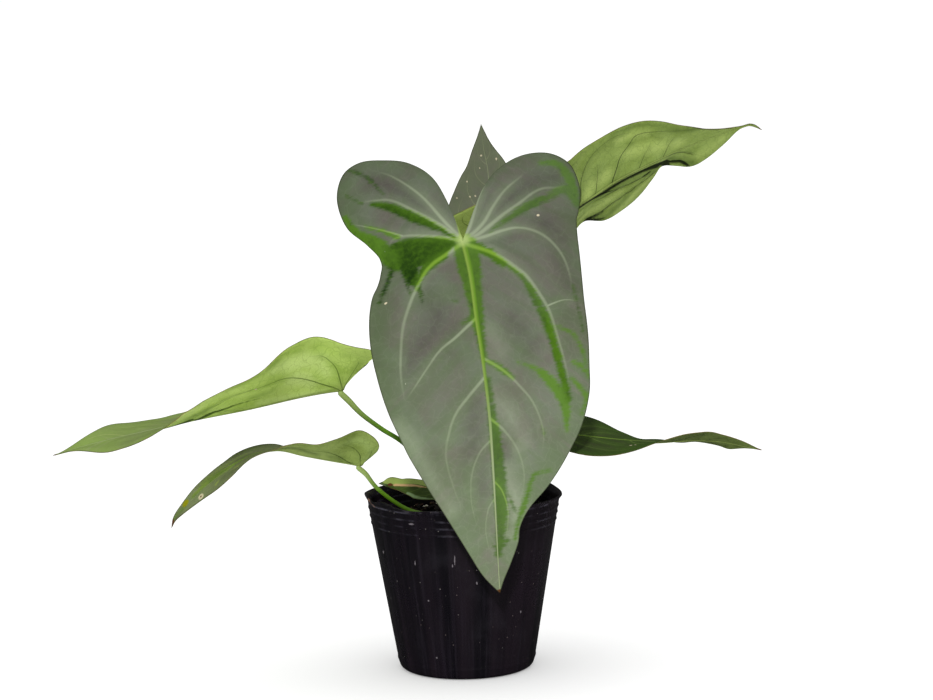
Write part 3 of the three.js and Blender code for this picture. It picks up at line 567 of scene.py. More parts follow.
LEFT_UPPER = [
    (0, 0), (60, -35), (110, -70), (160, -110), (195, -125), (210, -100), (215, -50), (235, 20), (265, 90),
    (280, 150), (285, 220), (275, 300), (265, 380), (250, 480), (215, 600), (160, 700), (115, 790),
    (65, 870), (25, 940), (0, 1000),
]
LEFT_LOWER = [
    (0, 0), (50, -25), (90, -40), (130, -50), (170, -45), (200, -20), (217, 20), (225, 60), (220, 120),
    (222, 200), (222, 320), (213, 390), (196, 475), (162, 573), (120, 646), (83, 732), (55, 822), (32, 900),
    (17, 955), (0, 1000),
]
LEFT_LOWER_NEAR = LEFT_LOWER[:12] + [
    (185, 475), (138, 573), (104, 646), (74, 732), (52, 822), (34, 900), (18, 955), (0, 1000),
]
RIGHT_UPPER_FAR = [
    (0, 0), (28, -60), (66, -150), (123, -225), (190, -250), (252, -220), (285, -150), (294, -60),
    (285, 30), (280, 130), (285, 240), (275, 360), (247, 480), (204, 600), (152, 700), (122, 750),
    (90, 806), (37, 873), (10, 915), (8, 960), (0, 1000),
]
RIGHT_UPPER_NEAR = [
    (0, 0), (27, -40), (60, -90), (110, -120), (165, -115), (210, -80), (235, -20), (245, 50), (252, 130),
    (268, 240), (261, 360), (234, 480), (193, 600), (144, 700), (97, 771), (66, 823), (45, 865), (18, 903),
    (8, 925), (7, 965), (0, 1000),
]
SMALL_FAR = RIGHT_UPPER_FAR[:14] + [
    (165, 690), (145, 770), (130, 840), (100, 905), (50, 960), (0, 1000),
]
RIGHT_LOWER = [
    (0, 0), (30, -50), (70, -115), (120, -150), (180, -150), (235, -110), (270, -40), (285, 40), (290, 120),
    (283, 200), (272, 270), (256, 350), (237, 430), (205, 520), (163, 620), (128, 700), (100, 750),
    (74, 810), (54, 860), (31, 920), (0, 1000),
]


def heart(k):
    """The common heart shape, k times as wide."""
    return [(x * k, s) for x, s in HEART]


def shares(points):
    """Points of the tables as shares of the midrib."""
    return np.array(points, float) / 1000


# Side veins of one half, as (half width in mm, points), for the leaves that have none of their own: three
# into the lobe, one long arch near the margin, and four from the midrib.
SIDE_VEINS = [
    (0.9, [(0, 0), (45, -55), (90, -120), (150, -185), (190, -200)]),
    (0.9, [(0, 0), (75, -45), (150, -85), (215, -100), (260, -80)]),
    (0.9, [(0, 0), (70, 5), (130, 20), (180, 60), (225, 130), (240, 200)]),
    (1, [(0, 0), (50, 50), (100, 125), (165, 210), (200, 310), (200, 400), (165, 500)]),
    (0.7, [(0, 170), (50, 210), (100, 280), (135, 360)]),
    (0.8, [(0, 360), (70, 390), (120, 450), (150, 530), (140, 630), (110, 710)]),
    (0.7, [(0, 550), (50, 585), (85, 640), (90, 710), (70, 790)]),
    (0.6, [(0, 710), (30, 745), (45, 800), (30, 870)]),
]
# Side veins of single leaves, where they show.
FRONT_VEINS_LEFT = [
    (1.3, [(0, 0), (-36, -58), (-87, -152), (-154, -227), (-205, -255)]),
    (1.5, [(0, 0), (-53, -57), (-111, -110), (-169, -158), (-213, -170), (-275, -178)]),
    (1.4, [(0, 4), (-45, -16), (-104, -35), (-155, -47), (-193, -42), (-208, -15)]),
    (0.8, [(-160, -47), (-209, -76), (-272, -109), (-300, -120)]),
    (1.5, [(0, 8), (-56, 32), (-100, 52), (-135, 86), (-181, 170), (-213, 249), (-231, 358), (-225, 460)]),
    (1.1, [(0, 225), (-64, 269), (-115, 300), (-157, 347), (-209, 410), (-235, 440)]),
    (1.1, [(0, 390), (-51, 438), (-92, 484), (-115, 538), (-128, 610), (-107, 709), (-80, 780)]),
    (0.8, [(0, 565), (-35, 600), (-60, 660), (-65, 740), (-50, 820)]),
    (0.7, [(0, 730), (-20, 760), (-30, 820), (-20, 890)]),
]
FRONT_VEINS_RIGHT = [
    (1.3, [(0, 0), (25, -30), (49, -72), (74, -118), (105, -152)]),
    (1.4, [(0, 0), (38, -15), (72, -40), (105, -78), (150, -118), (220, -155)]),
    (1.5, [(0, 0), (40, -4), (76, -20), (128, -48), (178, -70), (218, -90), (251, -98), (295, -93),
           (330, -100)]),
    (1.4, [(0, 4), (58, 6), (117, 0), (162, 4), (219, 40), (261, 99), (272, 157), (262, 190)]),
    (1.5, [(0, 12), (67, 54), (126, 106), (157, 137), (197, 218), (214, 314), (226, 407), (224, 470)]),
    (0.8, [(197, 218), (245, 206), (285, 214)]),
    (1.1, [(0, 338), (51, 378), (92, 427), (125, 478), (145, 550), (135, 620)]),
    (1, [(0, 505), (40, 545), (72, 600), (85, 670), (70, 740)]),
    (0.7, [(0, 680), (22, 710), (35, 770), (25, 850)]),
]
RIGHT_UPPER_VEINS = (
    [
        (0.7, [(0, 225), (-25, 250), (-133, 268), (-207, 312), (-235, 381), (-224, 441), (-183, 498)]),
        (0.7, [(0, 385), (-66, 412), (-110, 431), (-147, 468), (-176, 501), (-158, 580), (-145, 657),
               (-125, 740), (-90, 800)]),
        (0.4, [(0, 310), (-31, 323), (-96, 337), (-173, 345)]),
        (0.5, [(0, 600), (-34, 614), (-71, 626), (-115, 646)]),
        (0.4, [(0, 500), (-65, 530), (-115, 560)]),
        (0.8, [(0, 0), (-100, 30), (-190, 100), (-240, 200), (-260, 310)]),
        (1.2, [(0, 0), (-90, -75), (-170, -125), (-240, -165), (-285, -130)]),
    ],
    [
        (1.3, [(262, 294), (152, 376), (135, 484), (96, 540), (78, 584)]),
        (1, [(0, 270), (31, 325), (64, 426), (79, 493), (78, 551)]),
        (0.6, [(0, 600), (20, 660), (44, 718), (73, 752)]),
        (0.8, [(0, 0), (80, -60), (180, -90), (250, -60)]),
        (0.8, [(0, 0), (90, 30), (170, 100), (230, 200)]),
    ],
)
LEFT_UPPER_VEINS = (
    [],
    [
        (0.8, [(0, 0), (45, 67), (79, 109), (132, 177), (159, 235), (175, 309), (176, 375), (139, 456),
               (80, 530)]),
        (0.8, [(0, 0), (98, 12), (143, 35), (168, 61), (185, 110)]),
        (0.5, [(0, 0), (70, -35), (130, -60), (170, -50)]),
        (0.5, [(0, 340), (28, 378), (37, 403), (29, 438)]),
        (0.4, [(0, 560), (50, 620), (70, 690), (50, 780)]),
    ],
)
LEFT_LOWER_VEINS = (
    [],
    [
        (0.7, [(0, 0), (24, 10), (66, 19), (99, 46), (128, 91), (165, 138)]),
        (0.6, [(0, 0), (59, -22), (103, -25), (140, -20)]),
        (0.7, [(0, 20), (21, 75), (67, 134), (115, 202), (137, 274), (140, 350)]),
        (0.5, [(0, 400), (50, 470), (80, 560), (70, 660)]),
        (0.4, [(0, 600), (30, 660), (40, 740), (30, 820)]),
    ],
)

# Strokes are curves of (across, along, half width).
# Clear green where the painted sheen is left out: (brightness, strength, stroke).
FRONT_PATCHES = [
    (0.5, 0.9, [(3, 20, 34), (0, 70, 34), (0, 125, 26), (2, 231, 18), (3, 345, 8)]),
    (0.4, 0.8, [(5, 400, 9), (8, 510, 14), (14, 608, 18), (17, 735, 20), (13, 819, 14), (2, 885, 10)]),
    (0.15, 1, [(-24, 4, 8), (-78, 6, 33), (-142, 8, 46), (-190, 8, 40)]),
    (0, 1, [(-163, 26, 33), (-162, 79, 19), (-154, 125, 4)]),
    (0, 1, [(-180, 60, 8), (-178, 105, 4), (-174, 140, 1)]),
    (0, 1, [(-150, 80, 10), (-147, 130, 5), (-143, 165, 1)]),
    (0.7, 1, [(-186, -5, 10), (-195, 20, 10), (-192, 48, 5)]),
    (0.15, 1, [(-73, 31, 22), (-122, 62, 14), (-156, 110, 6)]),
    (0.15, 1, [(-21, -10, 6), (-65, -52, 10), (-119, -93, 16), (-178, -138, 13), (-226, -162, 6)]),
    (0.6, 0.95, [(-307, -140, 8), (-284, -80, 16), (-249, -49, 22), (-222, -15, 25), (-206, 15, 17)]),
    (0.6, 0.9, [(-256, -101, 4), (-210, -73, 6), (-175, -46, 8)]),
    (0.1, 0.8, [(-266, -274, 3), (-226, -245, 6), (-202, -205, 3), (-187, -181, 2)]),
    (0.2, 0.8, [(-293, -206, 2), (-254, -171, 3)]),
    (0, 1, [(-207, 32, 7), (-235, 88, 7), (-261, 149, 4)]),
    (0.35, 0.75, [(81, -8, 4), (137, -32, 9), (187, -50, 12), (236, -64, 12), (284, -74, 9)]),
    (0.6, 0.65, [(259, -171, 5), (303, -159, 10), (329, -114, 14), (334, -60, 10)]),
    (0.5, 0.55, [(260, -74, 9), (314, -82, 14), (334, -32, 10)]),
    (0.35, 1, [(31, 29, 14), (67, 62, 14), (95, 90, 10)]),
    (0.35, 0.85, [(95, 90, 5), (134, 125, 7), (160, 171, 10), (187, 250, 14)]),
    (0.45, 1, [(187, 250, 14), (200, 328, 12), (211, 402, 12), (219, 471, 12)]),
    (0.85, 0.85, [(95, 364, 1), (142, 386, 6), (176, 422, 14), (205, 465, 16), (211, 511, 10),
                  (210, 551, 3)]),
    (0.7, 0.8, [(219, 286, 3), (255, 307, 5), (275, 351, 5), (282, 400, 3)]),
    (0.2, 0.8, [(276, 169, 2), (282, 238, 3), (285, 310, 2)]),
    (0.8, 0.8, [(246, 380, 5), (269, 398, 7), (285, 422, 5)]),
    (0.8, 0.8, [(237, 422, 4), (256, 449, 6), (272, 477, 6), (255, 509, 4)]),
    (0.2, 0.6, [(140, 531, 1), (151, 575, 1)]),
    (0.7, 0.85, [(157, 657, 2), (115, 666, 5), (100, 694, 5), (86, 738, 8), (64, 792, 8), (50, 843, 4)]),
    (0.2, 0.7, [(37, 718, 2), (54, 764, 4)]),
    (0.3, 0.7, [(-76, 169, 1), (-48, 173, 2)]),
    (0.3, 0.9, [(-39, 234, 5), (-7, 222, 9)]),
    (0.4, 0.9, [(-12, 862, 4), (7, 866, 7), (30, 848, 5)]),
    (0.5, 0.8, [(10, 345, 6), (45, 372, 10), (75, 402, 5)]),
]
LEFT_LOWER_PATCHES = [
    (0.2, 0.8, [(0, 460, 10), (-10, 600, 22), (-20, 720, 22), (-10, 820, 12)]),
    (1, 0.9, [(45, 600, 4), (85, 530, 10), (50, 460, 18), (70, 410, 26), (50, 370, 20)]),
    (0.3, 0.7, [(-60, 520, 6), (-60, 660, 10), (-45, 760, 10)]),
    (0.9, 1, [(44, 680, 3), (50, 700, 3)]),
    (0.1, 0.7, [(0, 880, 12), (0, 960, 8)]),
]
# Strokes that tint the painted sheen: darker and warmer, greener, paler.
FRONT_TINTS = [
    [
        [(-127, 159, 15), (-106, 212, 25), (-174, 288, 20), (-221, 347, 6)],
        [(-212, -226, 15), (-140, -189, 22), (-109, -130, 10)],
        [(123, -76, 6), (215, -106, 18), (282, -123, 8)],
        [(232, 14, 20), (257, 84, 16), (274, 166, 6)],
        [(-65, 250, 10), (-98, 306, 4)],
        [(97, 240, 8), (134, 321, 10)],
        [(48, 541, 8), (19, 650, 4)],
        [(-40, 450, 10), (-50, 580, 14), (-40, 700, 8)],
    ],
    [
        [(-262, 139, 20), (-277, 233, 28), (-278, 348, 24), (-258, 485, 12)],
        [(-290, -222, 12), (-293, -149, 14), (-272, -80, 14)],
        [(-149, 157, 10), (-59, 145, 10)],
        [(-149, 357, 8), (-79, 289, 10), (-22, 242, 8)],
        [(-200, 431, 8), (-123, 369, 10), (-38, 316, 6)],
        [(-139, 527, 8), (-71, 447, 10), (-13, 383, 6)],
        [(-172, 595, 6), (-135, 667, 10)],
        [(-78, 644, 6), (-69, 730, 10), (-52, 814, 6)],
        [(222, 202, 6), (233, 322, 8)],
        [(105, 330, 6), (130, 393, 6)],
        [(192, 550, 10), (144, 643, 12), (99, 710, 6)],
    ],
    [
        [(24, 444, 8), (57, 501, 14), (79, 570, 8)],
        [(33, 651, 6), (58, 737, 10), (43, 820, 6)],
        [(31, 264, 4), (49, 327, 6)],
        [(-254, 502, 4), (-187, 622, 8), (-126, 754, 6)],
    ],
]
LEFT_LOWER_TINTS = [
    [
        [(-20, 520, 10), (-40, 600, 14), (-30, 700, 12), (-30, 780, 8)],
        [(20, 930, 10), (-10, 970, 12)],
        [(80, 580, 6), (55, 660, 8), (50, 740, 6)],
        [(-110, 560, 10), (-100, 480, 12), (-80, 420, 10)],
    ],
    [
        [(0, 600, 4), (0, 800, 4)],
    ],
    [
        [(18, 855, 6), (26, 804, 8), (30, 745, 8), (60, 650, 8)],
        [(-52, 800, 6), (-76, 690, 10), (-104, 630, 8), (-146, 570, 6)],
        [(-149, 550, 8), (-140, 450, 10)],
    ],
]
# Strokes on undersides: painted shadow in folds, darker olive places, pale places of painted light.
LEFT_UPPER_SHADES = [
    [
        [(6, 499, 10), (43, 439, 8), (69, 359, 5), (66, 278, 1)],
        [(0, 600, 10), (0, 560, 16), (20, 520, 10)],
        [(119, 437, 3), (157, 369, 2), (173, 298, 1)],
    ],
    [
        [(30, 530, 30), (80, 490, 30), (120, 460, 20)],
        [(168, -21, 6), (151, -69, 4), (100, -45, 1)],
        [(260, 200, 10), (270, 280, 10), (250, 380, 10)],
        [(100, 310, 10), (90, 240, 10)],
    ],
    [
        [(225, 207, 20), (186, 145, 30), (153, 82, 30), (89, 48, 20)],
        [(33, 280, 8), (13, 174, 12), (3, 69, 10)],
        [(60, 100, 20), (110, 150, 30)],
        [(220, 550, 4), (200, 500, 6)],
    ],
]
LEFT_LOWER_SHADES = [
    [
        [(20, 440, 6), (50, 390, 5), (70, 320, 2)],
    ],
    [
        [(97, 400, 30), (98, 300, 30), (60, 220, 20)],
        [(40, 150, 10), (30, 100, 6)],
    ],
    [
        [(154, 88, 20), (156, 20, 20), (95, -29, 15), (31, -8, 10)],
    ],
]
RIGHT_UPPER_SHADES = [
    [
        [(10, 200, 18), (18, 292, 18), (30, 341, 15), (30, 418, 15), (34, 510, 15), (58, 577, 18),
         (110, 630, 18), (163, 655, 14)],
        [(75, 240, 2), (72, 324, 3), (70, 381, 3), (80, 440, 3), (84, 500, 3), (84, 560, 6)],
        [(266, 302, 10), (217, 335, 5), (169, 374, 2), (153, 425, 2), (130, 472, 2), (125, 532, 4),
         (135, 603, 10)],
        [(270, 300, 10), (253, 337, 6), (240, 367, 1)],
        [(133, 664, 10), (117, 688, 10), (126, 714, 5)],
        [(-146, 700, 1), (-120, 750, 3), (-83, 809, 3), (-30, 874, 3)],
        [(4, 597, 2), (9, 643, 3), (41, 693, 2), (65, 729, 1)],
    ],
    [
        [(60, 220, 12), (56, 360, 10), (60, 500, 14), (100, 580, 20)],
        [(250, 340, 20), (210, 400, 14), (170, 460, 10)],
        [(70, 640, 20), (100, 690, 20), (110, 730, 12)],
        [(-250, 420, 10), (-200, 560, 10), (-130, 700, 14)],
    ],
    [
        [(204, 276, 20), (161, 318, 20), (115, 363, 14), (105, 431, 10)],
        [(236, 410, 8), (205, 459, 12), (168, 519, 14), (155, 575, 8)],
        [(78, 740, 14), (55, 790, 12), (26, 845, 6)],
        [(-28, 273, 20), (-52, 316, 30), (-58, 368, 30)],
        [(-120, 450, 20), (-80, 560, 30), (-50, 660, 20)],
        [(-200, 440, 14), (-170, 540, 14)],
        [(-80, -120, 60), (-180, -180, 80), (-270, -170, 70), (-270, -20, 50)],
    ],
]

# spine: the midrib in mm, from the stalk to the tip. Places along it are shares of its length.
# face: where the upper side looks, as (place, x, y, z).
# fold: (place, left, right), degrees that a half rises from the midrib's plane. curl: how far it turns on
# from there to its margin. ruffle: waves of the margin, as (height, length, phase, side).
# width: a half's, as a share of the midrib. back: how far below the stalk the lobe's rows end, likewise.
# spacing: the mesh's, in mm. rib: the midrib's half width. keel: how far it stands out below.
# relief and pleat: how proud the fields between the veins and the dark folds stand, in mm.
# marks: (kind, across, along, radius in mm), with the places in shares of the midrib.
LEAVES = {
    "front": dict(
        spine=[(3.4, -46, 265.3), (7.6, -54, 245.3), (10.5, -60, 219.4), (13.5, -64, 196.3),
               (16.3, -68, 167.4), (17.5, -70, 144.1), (18.6, -70, 114.6), (19.7, -69, 78.8),
               (20.4, -67, 58.6)],
        face=[(-0.3, 0, -1, 0.1), (0, 0, -1, 0.2), (0.5, 0, -1, 0.1), (1, 0, -1, 0)],
        left=FRONT_LEFT, right=FRONT_RIGHT, width=0.32,
        fold=[(-0.3, 4, 4), (0.3, 3, 3), (1, 6, 6)],
        curl=[(-0.3, -14, -14), (0, -10, -10), (0.5, -8, -8), (1, 5, 5)],
        ruffle=[(1.2, 44, 0.6, 1), (1.0, 52, 2.2, -1)],
        keel=1.1, back=0.1, spacing=1.5, rib=1.75, upper=FRONT_UPPER, under=UNDER,
        veins=(FRONT_VEINS_LEFT, FRONT_VEINS_RIGHT), patches=FRONT_PATCHES, tints=FRONT_TINTS,
        marks=[("pale", -0.246, 0.155, 0.8), ("pale", 0.22, -0.02, 0.8), ("brown", 0.0, 0.995, 1.6)],
    ),
    "left_upper": dict(
        spine=[(-71.3, -20, 176.1), (-96.4, -24, 172.2), (-126.3, -28, 166.3), (-152.9, -32, 162),
               (-165.3, -34, 159.7), (-180.1, -36, 156.2), (-205.6, -38, 151.2), (-227.3, -38, 146),
               (-243.8, -36, 141.6)],
        face=[(-0.25, 0, 0, 1), (1, 0, 0, 1)],
        left=LEFT_UPPER, right=LEFT_UPPER, width=0.285,
        fold=[(-0.11, 15, 39), (-0.03, 22, 48), (0.05, 28, 56), (0.15, 24, 46), (0.25, 13, 32), (0.40, 4, 25),
              (0.52, -1, 17), (0.60, 1, 8), (0.66, 4, 1), (0.74, 11, -8), (0.83, 27, -15), (0.92, 36, -2),
              (1, 34, 5)],
        keel=0.9, back=0.06, spacing=1.5, rib=1.3, upper=TIP_UPPER, under=UNDER_PAINTED_LIGHTER, veins=LEFT_UPPER_VEINS,
        shades=LEFT_UPPER_SHADES, pleat=0.8,
        marks=[("pale", 0.17, 0.29, 1.0), ("brown", 0, 0.995, 1.4)],
    ),
    "left_lower": dict(
        spine=[(-61.4, -15, 129.1), (-76.9, -18, 132), (-94.8, -20, 135.9), (-110.8, -22, 139.8),
               (-126.3, -24, 137), (-140.9, -25, 128.6), (-155.1, -25, 118), (-168.2, -24, 105.9),
               (-174.2, -23, 99.3), (-176.4, -22, 93.6)],
        face=[(-0.25, 0, 0, 1), (0.45, 0, 0, 1), (0.6, 0.3, -0.1, 1), (0.8, -0.66, -0.39, 0.65),
              (1, -0.72, -0.5, 0.5)],
        left=LEFT_LOWER, right=LEFT_LOWER_NEAR, width=0.225,
        fold=[(-0.09, 15, 36), (0, 23, 46), (0.06, 22, 47), (0.15, 9, 31), (0.22, 3, 21), (0.32, -1, 17),
              (0.39, 0, 9), (0.5, 1, 7), (0.57, 1, 4), (0.65, 1, -3), (0.73, 3, -8), (0.82, 9, -4),
              (0.92, 10, 4), (1, 8, 5)],
        keel=0.8, back=0.02, spacing=1.2, rib=1.0, upper=OLIVE_UPPER, under=UNDER, vein_scale=0.85,
        veins=LEFT_LOWER_VEINS, patches=LEFT_LOWER_PATCHES, tints=LEFT_LOWER_TINTS,
        shades=LEFT_LOWER_SHADES, pleat=0.5,
        marks=[("ring", 0.036, 0.787, 2.2), ("yellow", -0.014, 0.87, 2.6), ("brown", 0, 0.985, 3.5)],
    ),
    "right_upper": dict(
        spine=[(40.4, 8, 258.9), (55.4, 12, 268.6), (74.8, 18, 280.1), (98.7, 26, 295), (130.5, 36, 309.3),
               (151.5, 42, 317.2), (177.6, 48, 325.1), (184.6, 49, 326.2), (190.9, 50, 322.9)],
        face=[(-0.25, 0, 0.9, 0.45), (0, 0, 0.88, 0.5), (0.3, 0, 0.68, 0.73), (0.7, 0, 0.55, 0.83),
              (1, 0, 0.5, 0.85)],
        left=RIGHT_UPPER_FAR, right=RIGHT_UPPER_NEAR, width=0.28,
        fold=[(-0.2, -6, 14), (-0.14, -14, 20), (0.05, -21, 26), (0.22, -11, 26), (0.3, -5, 26),
              (0.36, -1, 13), (0.46, 7, 5), (0.54, 9, 6), (0.60, 5, 12), (0.645, -1, 18), (0.69, -5, 6),
              (0.72, -8, -7), (0.75, -11, -16), (0.83, -16, -25), (0.93, -12, -6), (1, -5, -2)],
        keel=0.9, back=0.1, spacing=1.5, rib=1.3, upper=DARK_UPPER, under=UNDER_MIDRIB_SHADOW,
        veins=RIGHT_UPPER_VEINS, shades=RIGHT_UPPER_SHADES, pleat=1.3,
        marks=[("brown", 0, 0.995, 1.4)],
    ),
    "right_lower": dict(
        spine=[(50.1, -20, 146.6), (72.9, -22, 143.9), (95, -24, 141.3), (115.8, -26, 139.9),
               (136.7, -28, 141), (154.6, -29, 140.1), (169.4, -30, 136.9), (179.5, -30, 134.2)],
        face=[(-0.25, 0, -0.2, 1), (0, 0, -0.2, 1), (0.22, 0, -0.2, 1), (0.52, 0, 0.12, 1), (0.70, 0, 0.4, 1),
              (1, 0, 0.4, 1)],
        left=RIGHT_LOWER, right=RIGHT_LOWER, width=0.29,
        fold=[(-0.15, 12, 10), (0, 10, 4), (0.13, 6, -1), (0.24, 2, -3), (0.35, -1, -6), (0.43, -1, -6),
              (0.52, 1, 1), (0.63, 0, 5), (0.70, 2, 10), (0.76, 9, 6), (0.81, 9, -3), (0.86, 13, -20),
              (0.92, 21, -8), (1, 16, 8)],
        keel=0.8, back=0.08, spacing=1.3, rib=1.1, upper=DARK_UPPER, under=UNDER_OLIVE, vein_scale=0.95,
        marks=[("pale", -0.13, 0.40, 1.0), ("pale", -0.125, 0.42, 0.8), ("brown", 0, 0.99, 2.0)],
    ),
    "back": dict(
        spine=[(12.4, 42, 245.3), (17.9, 52, 263.2), (20.3, 60, 282.7), (20.1, 66, 300), (17.9, 70, 313.8),
               (16.4, 74, 330.1)],
        face=[(-0.25, 0, -0.85, 0.5), (1, 0, -0.85, 0.5)],
        left=heart(0.83), right=heart(0.97), width=0.28,
        fold=[(-0.2, 18, 8), (0.4, 28, 8), (0.7, 27, 8), (0.76, 22, 6), (0.8, 16, 4), (0.87, 30, 6),
              (1, 30, 8)],
        keel=0.7, back=0.1, spacing=1.2, rib=0.8, upper=BACK_UPPER, under=UNDER,
        marks=[("pale", 0.027, 0.781, 0.6), ("pale", 0.226, 0.456, 0.6), ("pale", 0.239, 0.461, 0.5),
               ("pale", 0.098, 0.486, 0.7), ("pale", 0.129, 0.476, 0.6), ("pale", 0.057, 0.696, 0.5),
               ("pale", 0.152, 0.595, 0.4), ("pale", -0.075, 0.730, 0.7)],
    ),
    "small": dict(
        spine=[(-10.7, 18, 105.5), (-20.6, 21, 106.4), (-29.9, 24, 108), (-39.3, 25, 108.3),
               (-46.8, 26, 108.6), (-52.6, 26, 109.8)],
        face=[(-0.25, 0, -0.3, 0.9), (1, 0, -0.3, 0.9)],
        left=SMALL_FAR, right=heart(0.9), width=0.28,
        fold=[(-0.2, 2, 0), (0.13, 0, -5), (0.28, -4, -11), (0.44, -7, -16), (0.6, 3, -10), (0.69, 10, 0),
              (0.76, 28, 2), (0.83, 50, 2), (0.88, 48, 2), (0.94, 12, 2), (1, 4, 2)],
        keel=0.3, back=0.1, spacing=0.8, rib=0.9, relief=0.3, upper=SMALL_UPPER, under=UNDER, vein_scale=0.95,
        marks=[("brown", 0.0, 0.83, 1.7)],
        # the first spots are painted light: a pale wash over the far half, where the light falls
        spots=[
            [[(-100, 50, 80), (-140, 400, 100), (-100, 700, 80), (-60, 900, 50)]],
            [[(0, 300, 12), (0, 500, 30), (0, 750, 35)]],
            [[(270, 100, 30), (250, 350, 50), (200, 550, 40)], [(40, 920, 30), (0, 1000, 30)]],
        ],
    ),
}


SPINE_STEPS = 400      # steps along a midrib's curve
EDGE_STEPS = 2400      # steps along a half's outline
SOFT = 2.2             # half width in mm of the rounded crease along a midrib
FAR_FROM_RIM = 99.0    # the midrib's distance from the margin in mm, where it isn't measured
NO_VEIN = 9            # distance in mm to a vein that a half doesn't have
FULL_RIB = 1.3         # half width in mm of a midrib whose veins and relief are as the tables say
TINY = 1e-6            # a turn or weight that stands in for none


class Rib:
    """A leaf's midrib: its length, and the blade's frame at any place along it."""

    def __init__(self, leaf):
        self.leaf = leaf
        spine = leaf["spine"]
        self.p = curve_points(spine, np.linspace(0, len(spine) - 1, SPINE_STEPS + 1))
        self.s = np.concatenate([[0], np.cumsum(np.linalg.norm(np.diff(self.p, axis=0), axis=1))])
        self.length = self.s[-1]
        t = np.empty_like(self.p)
        t[1:-1] = self.p[2:] - self.p[:-2]
        t[0] = self.p[1] - self.p[0]
        t[-1] = self.p[-1] - self.p[-2]
        self.t = t / np.linalg.norm(t, axis=1)[:, None]

    def frame(self, s):
        """Point, direction to the tip, upward direction and direction to the right, at places s along it."""
        c = np.clip(s, 0, self.length)
        p = np.stack([np.interp(c, self.s, self.p[:, k]) for k in range(3)], 1)
        t = np.stack([np.interp(c, self.s, self.t[:, k]) for k in range(3)], 1)
        t /= np.linalg.norm(t, axis=1)[:, None]
        p = p + t * np.minimum(s, 0)[:, None]
        n = keyed(self.leaf["face"], s / self.length)
        n -= (n * t).sum(1)[:, None] * t
        n /= np.linalg.norm(n, axis=1)[:, None]
        return p, t, n, np.cross(n, t)


def blade_points(leaf, rib, x, s):
    """Points of a blade's middle surface, x to the right of the midrib and s along it, in mm."""
    p, t, n, b = rib.frame(s)
    right = x > 0
    place = s / rib.length
    fold = keyed(leaf["fold"], place)
    fold = np.radians(np.where(right, fold[:, 1], fold[:, 0]))
    half = leaf["width"] * rib.length
    q = np.full(len(x), TINY)
    if "curl" in leaf:
        curl = keyed(leaf["curl"], place)
        curl = np.radians(np.where(right, curl[:, 1], curl[:, 0]))
        q = np.where(np.abs(curl) < 1e-4, TINY, curl / half)
    a = np.abs(x)
    # the crease turns evenly over its half width, and from there the half runs on with its own curl
    near = np.minimum(a, SOFT)
    k = fold / SOFT + q
    k = np.where(np.abs(k) < TINY, TINY, k)
    out = np.sin(k * near) / k
    rise = (1 - np.cos(k * near)) / k
    far = np.maximum(a - SOFT, 0)
    turn = k * SOFT
    out = out + np.where(far > 0, (np.sin(turn + q * far) - np.sin(turn)) / q, 0)
    rise = rise + np.where(far > 0, -(np.cos(turn + q * far) - np.cos(turn)) / q, 0)
    for height, long, phase, side in leaf.get("ruffle", []):
        on = right if side > 0 else ~right
        rise = rise + on * height * (a / half) ** 2 * np.sin(TAU * s / long + phase)
    return p + b * np.where(right, out, -out)[:, None] + n * rise[:, None]


def half_rows(leaf, rib, side, spacing, body):
    """Rows of one half as (start on the midrib, edge point): the lobe's from the joint, then the body's."""
    outline = shares(leaf["left"] if side < 0 else leaf["right"])
    fine = curve_points(outline, np.linspace(0, len(outline) - 1, EDGE_STEPS + 1))
    lowest = int(np.argmin(fine[:, 1]))
    back = leaf["back"]
    split = lowest + int(np.argmax(fine[lowest:, 1] >= -back))
    # the lobe's rows fan out from the sinus corner, so each turns on from its neighbour
    turn = math.atan2(-fine[split, 1], fine[split, 0])
    for k in range(split - 1, 0, -1):
        r = math.hypot(*fine[k])
        turn = max(turn + 5e-5, math.atan2(-fine[k, 1], fine[k, 0]))
        fine[k] = (r * math.cos(turn), -r * math.sin(turn))
    gone = np.concatenate([[0], np.cumsum(np.hypot(*np.diff(fine[: split + 1], axis=0).T))])
    lobe = int(gone[-1] * rib.length / spacing)
    rows = []
    for i in range(1, lobe + 1):
        rows.append((0.0, fine[min(int(np.searchsorted(gone, gone[-1] * i / lobe)), split)]))
    rising = np.maximum.accumulate(fine[split:, 1])
    for j in range(1, body):
        start = j / body
        k = split + int(np.searchsorted(rising, start * (1 + back) - back))
        rows.append((start, fine[min(k, EDGE_STEPS)]))
    return rows, lobe


def side_veins(leaf, side):
    """The side veins of one half, as (half width in mm, points in shares of the midrib)."""
    own = leaf.get("veins", ([], []))[0 if side < 0 else 1]
    if own:
        return [(half, shares(line)) for half, line in own]
    finer = min(1.0, leaf["rib"] / FULL_RIB)
    apart = 0.0 if side > 0 else 0.03      # veins of the two halves don't leave the midrib at one place
    veins = []
    for half, line in SIDE_VEINS:
        shift = apart if line[0][1] > 0 else 0
        veins.append((half * finer, shares(line) * (side * leaf.get("vein_scale", 1.0), 1) + (0, shift)))
    return veins


def stroke_field(x, s, strokes, soft):
    """For each place: how far inside the strokes it is, how bright they are there, and how strong."""
    inside = np.zeros(len(x))
    bright = np.zeros(len(x))
    strong = np.zeros(len(x))
    weight = np.full(len(x), TINY)
    for light, strength, line in strokes:
        p = curve_points(shares(line), np.linspace(0, len(line) - 1, 6 * len(line)))
        d = np.min(np.hypot(x[:, None] - p[None, :, 0], s[:, None] - p[None, :, 1]) - p[None, :, 2], axis=1)
        f = np.clip(0.5 - d / (2 * soft), 0, 1)
        inside = np.maximum(inside, f)
        bright += light * f**2
        strong += strength * f**2
        weight += f**2
    return np.stack([inside, bright / weight, strong / weight], 1)


